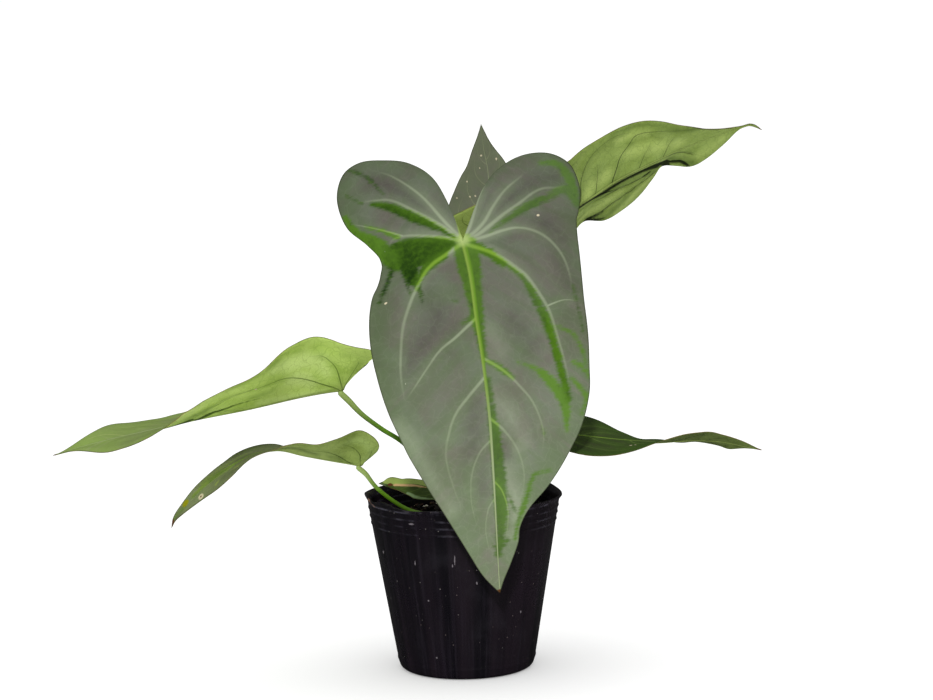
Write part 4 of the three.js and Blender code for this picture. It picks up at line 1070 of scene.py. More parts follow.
def stroke_shares(x, s, groups, softs):
    """For each place and each group of strokes, how far inside the group's strokes it is."""
    plain = [[(0, 1, line) for line in group] for group in groups]
    return np.stack([stroke_field(x, s, group, soft)[:, 0] for group, soft in zip(plain, softs)], 1)


def blade_grid(leaf, rib):
    """The blade laid flat: x, s, distance to the margin and side of its points, triangles and margin loop."""
    length = rib.length
    spacing = leaf["spacing"]
    body = int(length * (1 + leaf["back"]) / spacing)
    cols = int(leaf["width"] * length / spacing * 1.05)
    w = (np.arange(cols + 1) / cols) ** 1.12
    # the midrib's points come first: the stalk's end, the tip, and those between
    xs = [np.zeros(body + 1)]
    ss = [np.array([0.0, length]), np.arange(1, body) / body * length]
    rims = [np.array([0.0, 0.0]), np.full(body - 1, FAR_FROM_RIM)]
    sides = [np.zeros(body + 1)]
    count = body + 1
    triangles = []
    loops = {}
    for side in (-1, 1):
        rows, lobe = half_rows(leaf, rib, side, spacing, body)
        start = np.array([r[0] for r in rows])
        edge = np.array([r[1] for r in rows])
        x = side * edge[:, :1] * w[None] * length
        s = (start[:, None] * (1 - w)[None] + edge[:, 1:] * w[None]) * length
        ids = np.zeros((len(rows), cols + 1), int)
        ids[lobe:, 0] = 2 + np.arange(body - 1)
        ids[:, 1:] = count + np.arange(len(rows) * cols).reshape(len(rows), cols)
        count += len(rows) * cols
        xs.append(x[:, 1:].ravel())
        ss.append(s[:, 1:].ravel())
        rims.append(np.hypot(x[:, -1:] - x, s[:, -1:] - s)[:, 1:].ravel())
        sides.append(np.full(len(rows) * cols, side))
        a, b = ids[:-1, :-1].ravel(), ids[:-1, 1:].ravel()
        c, d = ids[1:, 1:].ravel(), ids[1:, :-1].ravel()
        end = np.stack([ids[-1, :-1], ids[-1, 1:], np.full(cols, 1)], 1)
        tri = np.vstack([np.stack([a, b, c], 1), np.stack([a, c, d], 1), end])
        tri = tri[(tri[:, 0] != tri[:, 1]) & (tri[:, 1] != tri[:, 2]) & (tri[:, 0] != tri[:, 2])]
        triangles.append(tri if side > 0 else tri[:, ::-1])
        loops[side] = list(ids[0, 1:]) + list(ids[1:, -1])
    loop = np.array([0] + loops[-1] + [1] + loops[1][::-1])
    return (*(np.concatenate(v) for v in (xs, ss, rims, sides)), np.vstack(triangles), loop)


def vein_distances(leaf, length, x, s, side):
    """Distance to each vein, place along it and its half width at every point; and the nearest distance."""
    veins = np.zeros((VEINS, len(x), 3))
    veins[:, :, 0] = NO_VEIN
    veins[:, :, 2] = 1
    nearest = np.full(len(x), np.inf)
    for which, sel in ((-1, side < 0), (1, side >= 0)):
        for k, (half, line) in enumerate(side_veins(leaf, which)[:VEINS]):
            d, along = from_line(x[sel], s[sel], line * length)
            veins[k, sel] = np.stack([d, along, half * (1 - 0.55 * along)], 1)
            nearest[sel] = np.minimum(nearest[sel], np.abs(d) + 6 * step(along, 0.85, 1.0))
    return veins, np.minimum(nearest, np.abs(x))


MARK_KINDS = {"brown": 0, "yellow": 1, "pale": 2}


def mark_fields(marks, length, x, s):
    """How strongly each place is marked brown, yellow and pale; a ring is a pale spot with a brown middle."""
    fields = np.zeros((len(x), 3))

    def spot(kind, d, low, high):
        k = MARK_KINDS[kind]
        fields[:, k] = np.maximum(fields[:, k], 1 - step(d, low, high))

    for kind, across, along, r in marks:
        d = np.hypot(x - across * length, s - along * length)
        if kind == "ring":
            spot("pale", d, 0.7 * r, 1.3 * r)
            spot("brown", d, 0.15 * r, 0.5 * r)
        else:
            spot(kind, d, 0.5 * r, 1.5 * r)
    return fields


def make_leaf(name, leaf):
    """A blade with relief, as a thin closed form; gives the midrib that its stalk joins."""
    rib = Rib(leaf)
    length = rib.length
    x, s, rim, side, tri, loop = blade_grid(leaf, rib)
    veins, nearest = vein_distances(leaf, length, x, s, side)

    middle = blade_points(leaf, rib, x, s)
    normal = np.zeros_like(middle)
    cross = np.cross(middle[tri[:, 1]] - middle[tri[:, 0]], middle[tri[:, 2]] - middle[tri[:, 0]])
    for k in range(3):
        np.add.at(normal, tri[:, k], cross)
    normal /= np.maximum(np.linalg.norm(normal, axis=1), 1e-12)[:, None]
    turned_up = (normal * rib.frame(s)[2]).sum() > 0
    if not turned_up:
        normal = -normal
        tri = tri[:, ::-1]

    # between its veins the blade stands a little proud, and it is never quite even
    seed = sum(ord(c) for c in name)
    calm = step(np.abs(x), 1.0, 9.0) * step(rim, 0.0, 6.0)
    quilt = leaf.get("relief", 0.5) * (1 - np.exp(-((nearest / 4.5) ** 2))) * calm * leaf["rib"] / FULL_RIB
    wave = np.sin(s * 0.11 + seed) * np.sin(x * 0.13 + seed * 0.7) + 0.5 * np.sin(s * 0.23 - x * 0.19 + seed)
    wave = 0.22 * wave * calm
    middle = middle + normal * (quilt + wave)[:, None]
    shade = np.zeros((len(x), 3))
    if "shades" in leaf:
        shade = stroke_shares(x / length, s / length, leaf["shades"], (0.010, 0.035, 0.035))
        middle = middle + normal * (leaf["pleat"] * step(shade[:, 0], 0.0, 0.9) * calm)[:, None]

    # the midrib's ridge above, its keel below, and the swollen knee where the stalk meets it
    place = np.clip(s / length, 0, 1)
    rib_half = leaf["rib"] * (0.1 + 0.9 * (1 - place) ** 1.15) + 0.1
    ridge = np.exp(-((x / (rib_half * 0.85)) ** 2))
    ridge = ridge * (1 - step(s, 0.9 * length, length)) * step(s, -1.5, 1.0)
    thick = BLADE / 2 * (0.42 + 0.58 * step(rim, 0.0, 3.5))
    top = middle + normal * (thick + 0.28 * leaf["rib"] / 1.5 * ridge)[:, None]
    keel = leaf["keel"] * (1 - 0.75 * place) * ridge
    knee = 0.9 * np.exp(-np.maximum(s, 0) / 7.0) * np.exp(-((x / 2.2) ** 2)) * step(s, -2.5, 0.5)
    low = middle - normal * (thick + keel + knee)[:, None]

    n = len(x)
    nxt = np.roll(loop, -1)
    strip = np.stack([loop, loop + n, nxt + n, nxt], 1)
    if turned_up:
        strip = strip[:, ::-1]
    faces = [*tri, *(tri[:, ::-1] + n), *strip]
    which = [0] * len(tri) + [1] * len(tri) + [2] * len(strip)
    materials = [leaf["upper"], leaf["under"], MARGIN]
    obj = mesh_object(f"blade_{name}", np.vstack([top, low]), faces, materials, which)

    # the painted sheen is greener towards the tip, and on the front leaf along its left margin too
    tone = step(place, 0.35, 0.95) * (0.3 if name == "front" else 0.75)
    if name == "front":
        tone = np.clip(tone + 0.4 * step(-x, 20, 55) * step(s, 40, 110), 0, 1)
    fields = {f"vein_{k}": veins[k] for k in range(VEINS)}
    # the third part sets the blades' patterns apart from one another
    fields["flat"] = np.stack([x, s, np.full(n, float(seed % 97))], 1)
    fields |= {"rim": rim, "rib": rib_half, "joint": np.hypot(x, s)}
    fields |= {"shade": shade, "tone": tone, "way": place}
    fields["patch"] = stroke_field(x / length, s / length, leaf.get("patches", []), 0.011)
    for kind, soft in (("tints", 0.035), ("spots", 0.03)):
        if kind in leaf:
            fields[kind] = stroke_shares(x / length, s / length, leaf[kind], [soft] * 3)
    fields["marks"] = mark_fields(leaf["marks"], length, x, s)
    for field, values in fields.items():
        give(obj, field, np.concatenate([values, values]))
    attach(obj, "root")
    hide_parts(f"leaf_{name}")
    return rib


# ------------------------------------------------------------------ stalks
STALK_SIDES = 26

# path: centre line from the stem to the blade. thick: (share of the way, radius).
STALKS = {
    "front": dict(
        path=[(-1.1, -6.1, 93.3), (-1.1, -6.7, 99), (-0.9, -8.3, 111), (-0.6, -11, 130), (0, -17, 175),
              (0.6, -24, 218), (2, -31.5, 250), (3, -38, 261.5)],
        thick=[(0, 2.5), (0.05, 2.4), (0.3, 2.1), (0.85, 1.9), (0.95, 2.4), (1, 2.2)]),
    "left_upper": dict(
        path=[(-5.6, 2.6, 93.3), (-6.8, 2.3, 98.2), (-9.6, 0.7, 105.2), (-14, -2, 114), (-26, -7, 130),
              (-37, -10, 141.6), (-48.1, -13, 149.5), (-59.8, -16, 159.2), (-67.5, -18.5, 168)],
        thick=[(0, 2.5), (0.1, 2.1), (0.3, 1.6), (0.75, 1.5), (0.9, 1.85), (1, 1.8)]),
    "left_lower": dict(
        path=[(-5.4, -3.1, 93.3), (-6.3, -3.4, 94.9), (-9.8, -4.7, 95.7), (-18, -7, 95.2), (-31.4, -9, 98.2),
              (-42.6, -11, 105), (-52.6, -13, 114), (-58.6, -14.6, 122.5)],
        thick=[(0, 1.7), (0.08, 1.7), (0.3, 1.4), (0.8, 1.35), (0.93, 1.6), (1, 1.5)]),
    "right_upper": dict(
        path=[(6.1, 1.1, 93.3), (6.4, 0.9, 99), (7.3, -0.5, 113), (10, -4, 140), (17, -9, 185),
              (27, -10.5, 225), (36, -4, 248)],
        thick=[(0, 2.5), (0.05, 2.2), (0.3, 1.8), (0.85, 1.7), (0.95, 2.1), (1, 1.9)]),
    "right_lower": dict(
        path=[(4.4, -4.4, 93.3), (5.4, -4.9, 96.6), (8.6, -6.6, 100.3), (14, -9, 104), (27, -14, 115),
              (38, -18, 127), (44.5, -19.5, 136)],
        thick=[(0, 2.1), (0.1, 2.0), (0.3, 1.6), (0.8, 1.5), (0.93, 1.85), (1, 1.7)]),
    "back": dict(
        path=[(3.1, 5.4, 93.3), (3.2, 6.5, 99.5), (3.4, 9.5, 115), (4, 21, 150), (6.5, 34, 200),
              (9.5, 42.5, 228), (11.3, 45.5, 239)],
        thick=[(0, 2.3), (0.05, 1.9), (0.3, 1.5), (0.88, 1.35), (0.95, 1.6), (1, 1.5)]),
    "small": dict(
        path=[(-1.6, 6, 93.3), (-2.4, 7.6, 96.5), (-5.2, 12, 99.5), (-8.6, 15.6, 101.6)],
        thick=[(0, 1.7), (0.3, 1.3), (1, 1.1)]),
}


def stalk_material():
    """Smooth green skin: paler at the knee, brownish at the foot, with fine lengthwise lines and specks."""
    n = Nodes("stalk skin")
    along, spin, mm = n.apart(n.vector("flow"))
    place = n.place()
    cloud = n.noise(place, 60, 3, 0.55)
    lines = n.noise(n.join(n.math("COSINE", spin) * 2.2, n.math("SINE", spin) * 2.2, mm * 0.035), 2.6, 4, 0.6)
    base = n.mix(n.span(cloud, 0.35, 0.65), seen(74, 122, 12), seen(98, 148, 22))
    base = n.mix(n.span(lines, 0.42, 0.72, 0.0, 0.45), base, seen(132, 168, 58))
    base = n.mix(n.span(along, 0.25, 0.8, 0.75, 0.0), base, seen(58, 76, 20))
    base = n.mix(n.span(along, 0.66, 0.95), base, seen(146, 168, 92))
    base = n.mix(n.span(along, 0.0, 0.16, 0.65, 0.0), base, seen(96, 92, 40))
    dots = n.cells(n.join(spin * 1.6, mm * 0.6, 0.0), 1.0)
    dot = n.span(dots, 0.06, 0.16, 1.0, 0.0) * n.span(n.pick(dots, 0), 0.55, 0.56)
    base = n.mix(dot * 0.5, base, seen(178, 192, 120))
    height = lines * 0.6 + dot * 0.3
    return n.finish(base, n.span(cloud, 0.2, 0.8, 0.34, 0.48), n.bump(height, 0.4, 0.0004), specular=0.3)


STALK_SKIN = stalk_material()


def make_stalk(name, rib):
    """A round stalk with a shallow groove, from its sheathing foot up into the knee under the blade."""
    leaf = LEAVES[name]
    path, thick = STALKS[name]["path"], STALKS[name]["thick"]
    p, _, n, _ = rib.frame(np.array([1.2]))
    end_r = thick[-1][1]
    end = p[0] - n[0] * (BLADE / 2 + leaf["keel"] * 0.62 + 0.4 + end_r)
    top = p[0] - n[0] * (BLADE / 2 + leaf["keel"] * 0.5 + end_r * 0.35)
    centres = path + [tuple(end)]
    spans = len(centres) - 1
    long = np.linalg.norm(np.diff(np.array(centres), axis=0), axis=1).sum()
    rings = max(24, int(long / 1.3))
    t = np.linspace(0, spans, rings + 1)
    line = curve_points(centres, t)
    r = keyed(thick, t / spans)[:, 0]
    # the foot widens into a sheath, and the head closes round against the blade
    gone = np.linalg.norm(line - line[0], axis=1)
    r = r + 0.35 * np.exp(-gone / 5.0)
    head = [end + (top - end) * k for k in (0.45, 0.8, 1.0)]
    line = np.vstack([line, head])
    r = np.concatenate([r, end_r * np.array([0.97, 0.82, 0.45])])
    way = np.gradient(line, axis=0)
    way /= np.linalg.norm(way, axis=1)[:, None]
    way[0] = (0, 0, 1)
    spin = np.arange(STALK_SIDES) / STALK_SIDES * TAU
    side = np.array([1.0, 0, 0])
    groove = 1 - 0.07 * np.exp(-(((spin - 4.7) / 0.55) ** 2))
    points = []
    for c, d, radius in zip(line, way, r):
        side = side - (side @ d) * d
        side /= np.linalg.norm(side)
        other = np.cross(d, side)
        out = np.cos(spin)[:, None] * side + np.sin(spin)[:, None] * other
        points.append(c + out * (radius * groove)[:, None])
    rows = len(line)
    points = np.vstack(points + [line[:1], line[-1:]])
    here = np.arange(STALK_SIDES)
    after = (here + 1) % STALK_SIDES
    faces = []
    for low in range(0, (rows - 1) * STALK_SIDES, STALK_SIDES):
        high = low + STALK_SIDES
        faces.extend(np.stack([low + here, low + after, high + after, high + here], 1))
    foot = rows * STALK_SIDES
    faces.extend(np.stack([np.full(STALK_SIDES, foot), after, here], 1))
    faces.extend(np.stack([np.full(STALK_SIDES, foot + 1), high + here, high + after], 1))
    obj = mesh_object(f"petiole_{name}", points, faces, [STALK_SKIN])
    mm = np.concatenate([[0], np.cumsum(np.linalg.norm(np.diff(line, axis=0), axis=1))])
    flow = np.stack([np.repeat(mm / mm[-1], STALK_SIDES), np.tile(spin, rows), np.repeat(mm, STALK_SIDES)], 1)
    give(obj, "flow", np.vstack([flow, [(0, 0, 0), (1, 0, mm[-1])]]))
    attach(obj, "root")
    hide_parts(f"stalk_{name}")


for leaf_name, leaf_data in LEAVES.items():
    make_stalk(leaf_name, make_leaf(leaf_name, leaf_data))


# ------------------------------------------------------------------ pot
POT_HEIGHT = 107
POT_FOOT_R = 41.2
POT_TAPER = 0.169      # how much wider the wall gets for each mm of height
POT_WALL = 1.0
POT_FLOOR = 1.6
POT_SIDES = 220
FOOT_ROUND = 3.8
LIP_R = 60.5
LIP_H = 3.2
LIP_REACH = 13         # how far down the wall the lip's waves are felt
RIBS = (90.8, 95.2, 99.6)
RIB_H = 0.4
BEAD = 104.2           # height of the bead under the lip
DRAIN_R = 3.6
DRAIN_RING = 23
DRAINS = 6
SOIL_TOP = 91
SMEAR_ANGLE = 3.46     # where the brown smear on the lip is
# The lip's round section from the outside over the top, as (in from its outer radius, down from its top).
LIP_SECTION = [(1.25, 2.4), (0.8, 1.9), (0.3, 1.3), (0.05, 0.9), (0, 0.55), (0.06, 0.25), (0.22, 0.06),
               (0.45, 0), (0.75, 0.08), (1.1, 0.35), (1.6, 0.9), (2.3, 2.0), (2.8, 3.6)]
# The thin lip isn't flat: (degrees round the pot, rise in mm), with a kink at the front left.
LIP_WAVE = [(0, -0.9), (15, -0.4), (28, 0.8), (60, 0.5), (100, -0.6), (135, 0), (155, 0.4), (170, 0.9),
            (187, 2.1), (198, 0.9), (206, 0.2), (217, 1.9), (227, -0.1), (237, -1.2), (256, -0.3),
            (285, 0.5), (312, 0), (340, -0.2), (360, -0.9)]


def wall_r(z):
    return POT_FOOT_R + POT_TAPER * z


def warp(angle, z):
    """Rise of the uneven lip at an angle, fading out down the wall."""
    k = step(z, POT_HEIGHT - LIP_REACH, POT_HEIGHT)
    return k * keyed(LIP_WAVE, np.degrees(angle))[:, 0]


# Plain scratches on the front: (x, height, long half, short half) in mm.
SCRATCHES = [(-29.5, 73, 1.6, 0.35), (-5.8, 76, 3.2, 0.4), (-7.2, 72.5, 1.0, 0.4), (7, 61.5, 0.9, 0.5),
             (-49, 76, 1.0, 0.5), (-31, 97.5, 0.6, 1.6), (-22, 50, 0.6, 0.6), (-18, 14, 0.7, 0.5),
             (33, 40, 0.8, 0.5)]


def pot_material():
    """Thin black polypropylene: drawn streaks down the wall, dust, scuffs, and painted highlights on the ribs
    and lip.
    """
    n = Nodes("black pot plastic")
    place = n.place()
    x, y, z = n.apart(place)
    angle = n.math("ARCTAN2", y, x)
    round_x = n.math("COSINE", angle)
    round_y = n.math("SINE", angle)
    streak = n.noise(n.join(round_x, round_y, z * 1.2), 3.2, 3, 0.5)
    draw = n.noise(n.join(round_x, round_y, z * 0.8), 17, 3, 0.6)
    haze = n.noise(place, 26, 4, 0.6)
    fine = n.noise(place, 900, 3, 0.6)
    base = n.mix(n.span(streak, 0.38, 0.66), seen(12, 9, 16), seen(27, 19, 27))
    base = n.mix(n.span(draw, 0.48, 0.75, 0.0, 0.6), base, seen(34, 28, 37))
    base = n.mix(n.span(haze, 0.56, 0.80, 0.0, 0.3), base, seen(46, 43, 52))
    # dust specks, grit, and short pale scuffs
    dust = n.cells(place, 270)
    speck = n.span(dust, 0.04, 0.12, 1.0, 0.0) * n.span(n.pick(dust, 0), 0.72, 0.74)
    grit = n.cells(place, 340)
    grain = n.span(grit, 0.05, 0.14, 1.0, 0.0) * n.span(n.pick(grit, 1), 0.84, 0.90)
    base = n.mix(speck * 0.65, base, seen(150, 144, 140))
    base = n.mix(grain * 0.55, base, seen(130, 116, 112))
    scuff = n.cells(n.stretch(place, (60, 60, 24), (0.3, 0.5, 0.2)), 1.0)
    mark = n.span(scuff, 0.0, 0.13, 1.0, 0.0) * n.span(n.pick(scuff, 2), 0.84, 0.86)
    mark = mark * n.span(n.noise(place, 320, 3, 0.7), 0.5, 0.62)
    base = n.mix(mark * 0.55, base, seen(140, 138, 146))
    for scratch_x, scratch_z, long, short in SCRATCHES:
        dx = (x - scratch_x * MM) / (short * MM)
        dz = (z - scratch_z * MM) / (long * MM)
        reach = dx * dx + dz * dz + n.span(y, -0.02, 0.0) * 9.0 + (fine - 0.5) * 2.5
        base = n.mix(n.span(reach, 0.4, 1.2, 0.45, 0.0), base, seen(150, 142, 148))
    # painted highlights on the ribs and on the bead under the lip
    broken = n.noise(n.join(round_x, round_y, z * 12), 5.0, 4, 0.6)
    for ring, strength in ((BEAD, 0.5), (RIBS[2], 0.32), (RIBS[1], 0.28), (RIBS[0], 0.22)):
        off = n.math("ABSOLUTE", z - (ring - 0.1) * MM)
        painted_rib_highlight = n.span(off, 0.25 * MM, 0.8 * MM, strength, 0.0) * n.span(broken, 0.42, 0.66)
        base = n.mix(painted_rib_highlight, base, seen(96, 94, 108))
    # a painted highlight along the lip, with a brown smear at the front left
    painted_lip_highlight = n.value("lip") * n.span(n.noise(place, 140, 4, 0.65), 0.50, 0.66)
    base = n.mix(painted_lip_highlight * 0.5, base, seen(74, 70, 80))
    base = n.mix(n.span(n.value("smear"), 0.3, 0.6) * 0.85, base, seen(150, 116, 100))
    rough = n.span(haze, 0.3, 0.7, 0.24, 0.40) + speck * 0.3
    height = draw + fine * 0.06 + speck * 0.25
    return n.finish(base, rough, n.bump(height, 0.5, 0.0005), specular=0.34)


def pot_profile():
    """(radius, height) from the middle of the underside, up the wall, over the lip and down inside."""
    foot = wall_r(0) - FOOT_ROUND
    profile = [(0, 0), (9, 0), (18, 0), (28, 0), (foot - 1.5, 0), (foot, 0)]
    for i in range(1, 9):
        a = i / 8 * (math.pi / 2 - 0.15)
        profile.append((foot + FOOT_ROUND * math.sin(a) + 0.3 * i / 8, FOOT_ROUND * (1 - math.cos(a))))
    profile += [(wall_r(z) + proud, z) for z, proud in ((5.4, 0.1), (6.1, 0.28), (6.7, 0.3), (7.4, 0))]
    profile += [(wall_r(z), z) for z in np.arange(9, 87, 3.0)]
    for z in RIBS:
        for u in (-1.3, -0.8, -0.45, 0, 0.45, 0.8, 1.3):
            profile.append((wall_r(z + u) + RIB_H * math.exp(-((u / 0.6) ** 2)), z + u))
    lip = POT_HEIGHT - LIP_H
    profile += [(wall_r(lip - 0.6), lip - 0.6), (wall_r(lip) + 0.05, lip)]
    profile += [(LIP_R - back, POT_HEIGHT - down) for back, down in LIP_SECTION]
    profile += [(wall_r(z) - POT_WALL, z) for z in (101, 97, 94, SOIL_TOP, 75, 60, 45, 30, 15, 10)]
    inside = wall_r(POT_FLOOR) - POT_WALL
    profile += [(inside - 3.2, POT_FLOOR + 0.9), (inside - 6, POT_FLOOR)]
    profile += [(r, POT_FLOOR) for r in (28, 18, 9, 0)]
    return profile


def drill_drains(obj):
    """Cut the drain holes through the pot's floor."""
    cutters = []
    for i in range(DRAINS):
        a = (i + 0.5) / DRAINS * TAU
        bpy.ops.mesh.primitive_cylinder_add(
            vertices=28, radius=DRAIN_R * MM, depth=POT_FLOOR * 4 * MM,
            location=(DRAIN_RING * MM * math.cos(a), DRAIN_RING * MM * math.sin(a), POT_FLOOR / 2 * MM))
        cutters.append(bpy.context.object)
        cut = obj.modifiers.new("drain", "BOOLEAN")
        cut.operation = "DIFFERENCE"
        cut.solver = "EXACT"
        cut.object = cutters[-1]
    drilled = bpy.data.meshes.new_from_object(obj.evaluated_get(bpy.context.evaluated_depsgraph_get()))
    obj.modifiers.clear()
    obj.data = drilled
    for cutter in cutters:
        bpy.data.objects.remove(cutter, do_unlink=True)


def make_pot():
    angle = np.arange(POT_SIDES) / POT_SIDES * TAU

    def ring(r, z):
        z = np.full(POT_SIDES, float(z))
        r = r * (1 + 0.0012 * np.sin(3 * angle + 0.4) * step(z, 40, 100))
        return np.stack([r * np.cos(angle), r * np.sin(angle), z + warp(angle, z)], 1)

    obj = mesh_object("nursery_pot", *turned(pot_profile(), POT_SIDES, ring), [pot_material()])
    drill_drains(obj)
    co = np.zeros(len(obj.data.vertices) * 3, np.float32)
    obj.data.vertices.foreach_get("co", co)
    x, y, z = co.reshape(-1, 3).T / MM
    r = np.hypot(x, y)
    a = np.arctan2(y, x) % TAU
    give(obj, "lip", step(r, wall_r(z) + 0.8, wall_r(z) + 1.6) * step(z, 101, 103))
    below = POT_HEIGHT + warp(a, np.full(len(a), float(POT_HEIGHT))) - z
    aside = np.abs(a - SMEAR_ANGLE - 0.03 * below)
    smear = (1 - step(aside, 0.015, 0.05)) * (1 - step(below, 2.5, 4.5)) * step(r, 56.5, 57.5)
    give(obj, "smear", smear)
    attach(obj, "root")
    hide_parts("pot")


make_pot()


# ------------------------------------------------------------------ soil
CROWN_R = 9                # the stem's radius
CROWN_FOOT = 84            # height of the stem's underside, down in the mix
CROWN_SIDES = 72
SOIL_BUMP = 1.3            # how uneven the mix is
SOIL_SIDES = 150
BITS_BETWEEN = 11.5, 52.5  # distances from the middle where crumbs lie


def soil_material():
    n = Nodes("dark potting mix")
    place = n.place()
    coarse = n.noise(place, 160, 4, 0.65)
    fine = n.noise(place, 700, 4, 0.7)
    fibre = n.noise(n.stretch(place, (250, 900, 250), (0.4, 0.2, 0.9)), 1.0, 3, 0.6)
    base = n.mix(n.span(coarse, 0.35, 0.68), seen(16, 12, 11), seen(38, 28, 22))
    base = n.mix(n.span(fine, 0.55, 0.8, 0.0, 0.5), base, seen(72, 54, 38))
    base = n.mix(n.span(fibre, 0.62, 0.78, 0.0, 0.5), base, seen(104, 80, 56))
    height = coarse + fine * 0.4
    return n.finish(base, n.span(fine, 0.3, 0.7, 0.82, 0.98), n.bump(height, 0.9, 0.0012), specular=0.2)


def bark_material():
    n = Nodes("bark chips")
    place = n.place()
    tint = n.value("tint")
    grain = n.noise(n.stretch(place, (300, 900, 300), (0.7, 0.3, 0.1)), 1.0, 4, 0.6)
    spots = n.noise(place, 500, 3, 0.6)
    base = n.mix(n.span(tint, 0.3, 1.0), seen(22, 16, 13), seen(76, 52, 34))
    base = n.mix(n.span(grain, 0.45, 0.7, 0.0, 0.6), base, seen(64, 46, 34))
    base = n.mix(n.span(spots, 0.62, 0.8, 0.0, 0.5), base, seen(122, 96, 70))
    return n.finish(base, n.span(spots, 0.3, 0.7, 0.75, 0.95), n.bump(grain, 0.7, 0.0006), specular=0.25)


def perlite_material():
    n = Nodes("perlite and pumice")
    place = n.place()
    pits = n.cells(place, 1500)
    cloud = n.noise(place, 300, 3, 0.6)
    base = n.mix(n.span(cloud, 0.35, 0.65), seen(196, 186, 160), seen(226, 220, 204))
    base = n.mix(n.span(pits, 0.0, 0.35, 0.45, 0.0), base, seen(132, 112, 84))
    return n.finish(base, n.span(cloud, 0.2, 0.8, 0.8, 0.95), n.bump(pits, 0.7, 0.0004), specular=0.25)


def ground(x, y):
    """Height of the potting mix at a place, in mm."""
    r = np.hypot(x, y)
    calm = step(r, CROWN_R, CROWN_R + 9) * (1 - step(r, 46, 55))
    big = np.sin(x * 0.31 + 0.7) * np.cos(y * 0.27 - 0.4) + 0.55 * np.sin(x * 0.73 - y * 0.61)
    big = calm * SOIL_BUMP * big
    small = 0.35 * np.sin(x * 1.7 + 1.3 * np.sin(y * 0.9)) * np.sin(y * 1.9 + 1.1 * np.sin(x * 1.1))
    tiny = 0.18 * np.sin(x * 4.1 + y * 2.3) * np.sin(y * 3.7 - x * 2.9)
    return SOIL_TOP + big + small + tiny


def make_soil():
    angle = np.arange(SOIL_SIDES) / SOIL_SIDES * TAU
    low = POT_FLOOR + 0.3
    top_r = wall_r(SOIL_TOP) - POT_WALL - 0.3
    profile = [(0, low), (3, low), (wall_r(POT_FLOOR) - POT_WALL - 6.4, low)]
    profile += [(wall_r(10) - POT_WALL - 0.5, 10.2), (wall_r(50) - POT_WALL - 0.5, 50)]
    profile.append((top_r - 0.2, SOIL_TOP - 0.6))
    profile += [(r, None) for r in np.linspace(top_r - 0.7, 8.0, 62)]
    profile.append((0, SOIL_TOP - 0.4))

    def ring(r, z):
        """Points at a height, or where none is given, on the uneven ground."""
        x, y = r * np.cos(angle), r * np.sin(angle)
        return np.stack([x, y, ground(x, y) if z is None else np.full(SOIL_SIDES, float(z))], 1)

    obj = mesh_object("potting_mix", *turned(profile, SOIL_SIDES, ring), [soil_material()])
    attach(obj, "root")
    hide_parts("soil")


make_soil()


def crumbs(name, count, seed, sizes, flatness, material, places=None):
    """Broken bits lying in the potting mix, as one piece; places gives (x, y, size) for the first of them."""
    rng = np.random.default_rng(seed)
    ball = bmesh.new()
    bmesh.ops.create_icosphere(ball, subdivisions=2, radius=1)
    unit = np.array([v.co[:] for v in ball.verts])
    tri = np.array([[v.index for v in f.verts] for f in ball.faces])
    ball.free()
    points, faces, tint = [], [], []
    for i in range(count):
        if places and i < len(places):
            cx, cy, size = places[i]
        else:
            r = math.sqrt(rng.uniform(*(reach**2 for reach in BITS_BETWEEN)))
            a = rng.uniform(0, TAU)
            cx, cy = r * math.cos(a), r * math.sin(a)
            size = rng.uniform(*sizes) * (1 if rng.random() < 0.8 else 1.5)
        shape = unit * (1 + 0.30 * np.sin(unit @ rng.normal(size=3) * 3.1 + rng.uniform(0, 6)))[:, None]
        shape = shape * (1 + 0.18 * np.sin(unit @ rng.normal(size=3) * 6.3))[:, None]
        shape = shape * np.array([1, rng.uniform(0.45, 0.9), rng.uniform(*flatness)]) * size / 2
        tip, turn = rng.uniform(-0.5, 0.5), rng.uniform(0, TAU)
        ct, st = math.cos(tip), math.sin(tip)
        shape = shape @ np.array([[ct, 0, -st], [0, 1, 0], [st, 0, ct]])
        ct, st = math.cos(turn), math.sin(turn)
        shape = shape @ np.array([[ct, st, 0], [-st, ct, 0], [0, 0, 1]])
        low = shape[:, 2].min()
        base = float(ground(np.array([cx]), np.array([cy]))[0])
        points.append(shape + np.array([cx, cy, base - low * 0.55]))
        faces.append(tri + i * len(unit))
        tint.append(np.full(len(unit), rng.random()))
    obj = mesh_object(name, np.vstack(points), np.vstack(faces), [material])
    give(obj, "tint", np.concatenate(tint))
    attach(obj, "root")


crumbs("bark_bits", 420, 11, (1.6, 4.2), (0.35, 0.8), bark_material())
crumbs("perlite_bits", 46, 5, (1.2, 2.6), (0.6, 0.95), perlite_material(),
       places=[(-42.5, 24, 2.4), (-30.5, 26, 3.0), (-28, 28, 2.6), (-21, 27, 2.4), (-12, 27, 2.6),
               (-47, 27, 1.6)])


# ------------------------------------------------------------------ stem and bracts
def crown_material():
    n = Nodes("stem with leaf scars")
    place = n.place()
    x, y, z = n.apart(place)
    cloud = n.noise(place, 130, 4, 0.6)
    rings = n.noise(n.join(x * 60, y * 60, z * 700), 1.0, 3, 0.6)
    base = n.mix(n.span(cloud, 0.35, 0.65), seen(78, 92, 40), seen(112, 112, 58))
    base = n.mix(n.span(rings, 0.5, 0.7, 0.0, 0.7), base, seen(86, 66, 42))
    return n.finish(base, n.span(cloud, 0.2, 0.8, 0.6, 0.8), n.bump(rings, 0.8, 0.0009), specular=0.3)


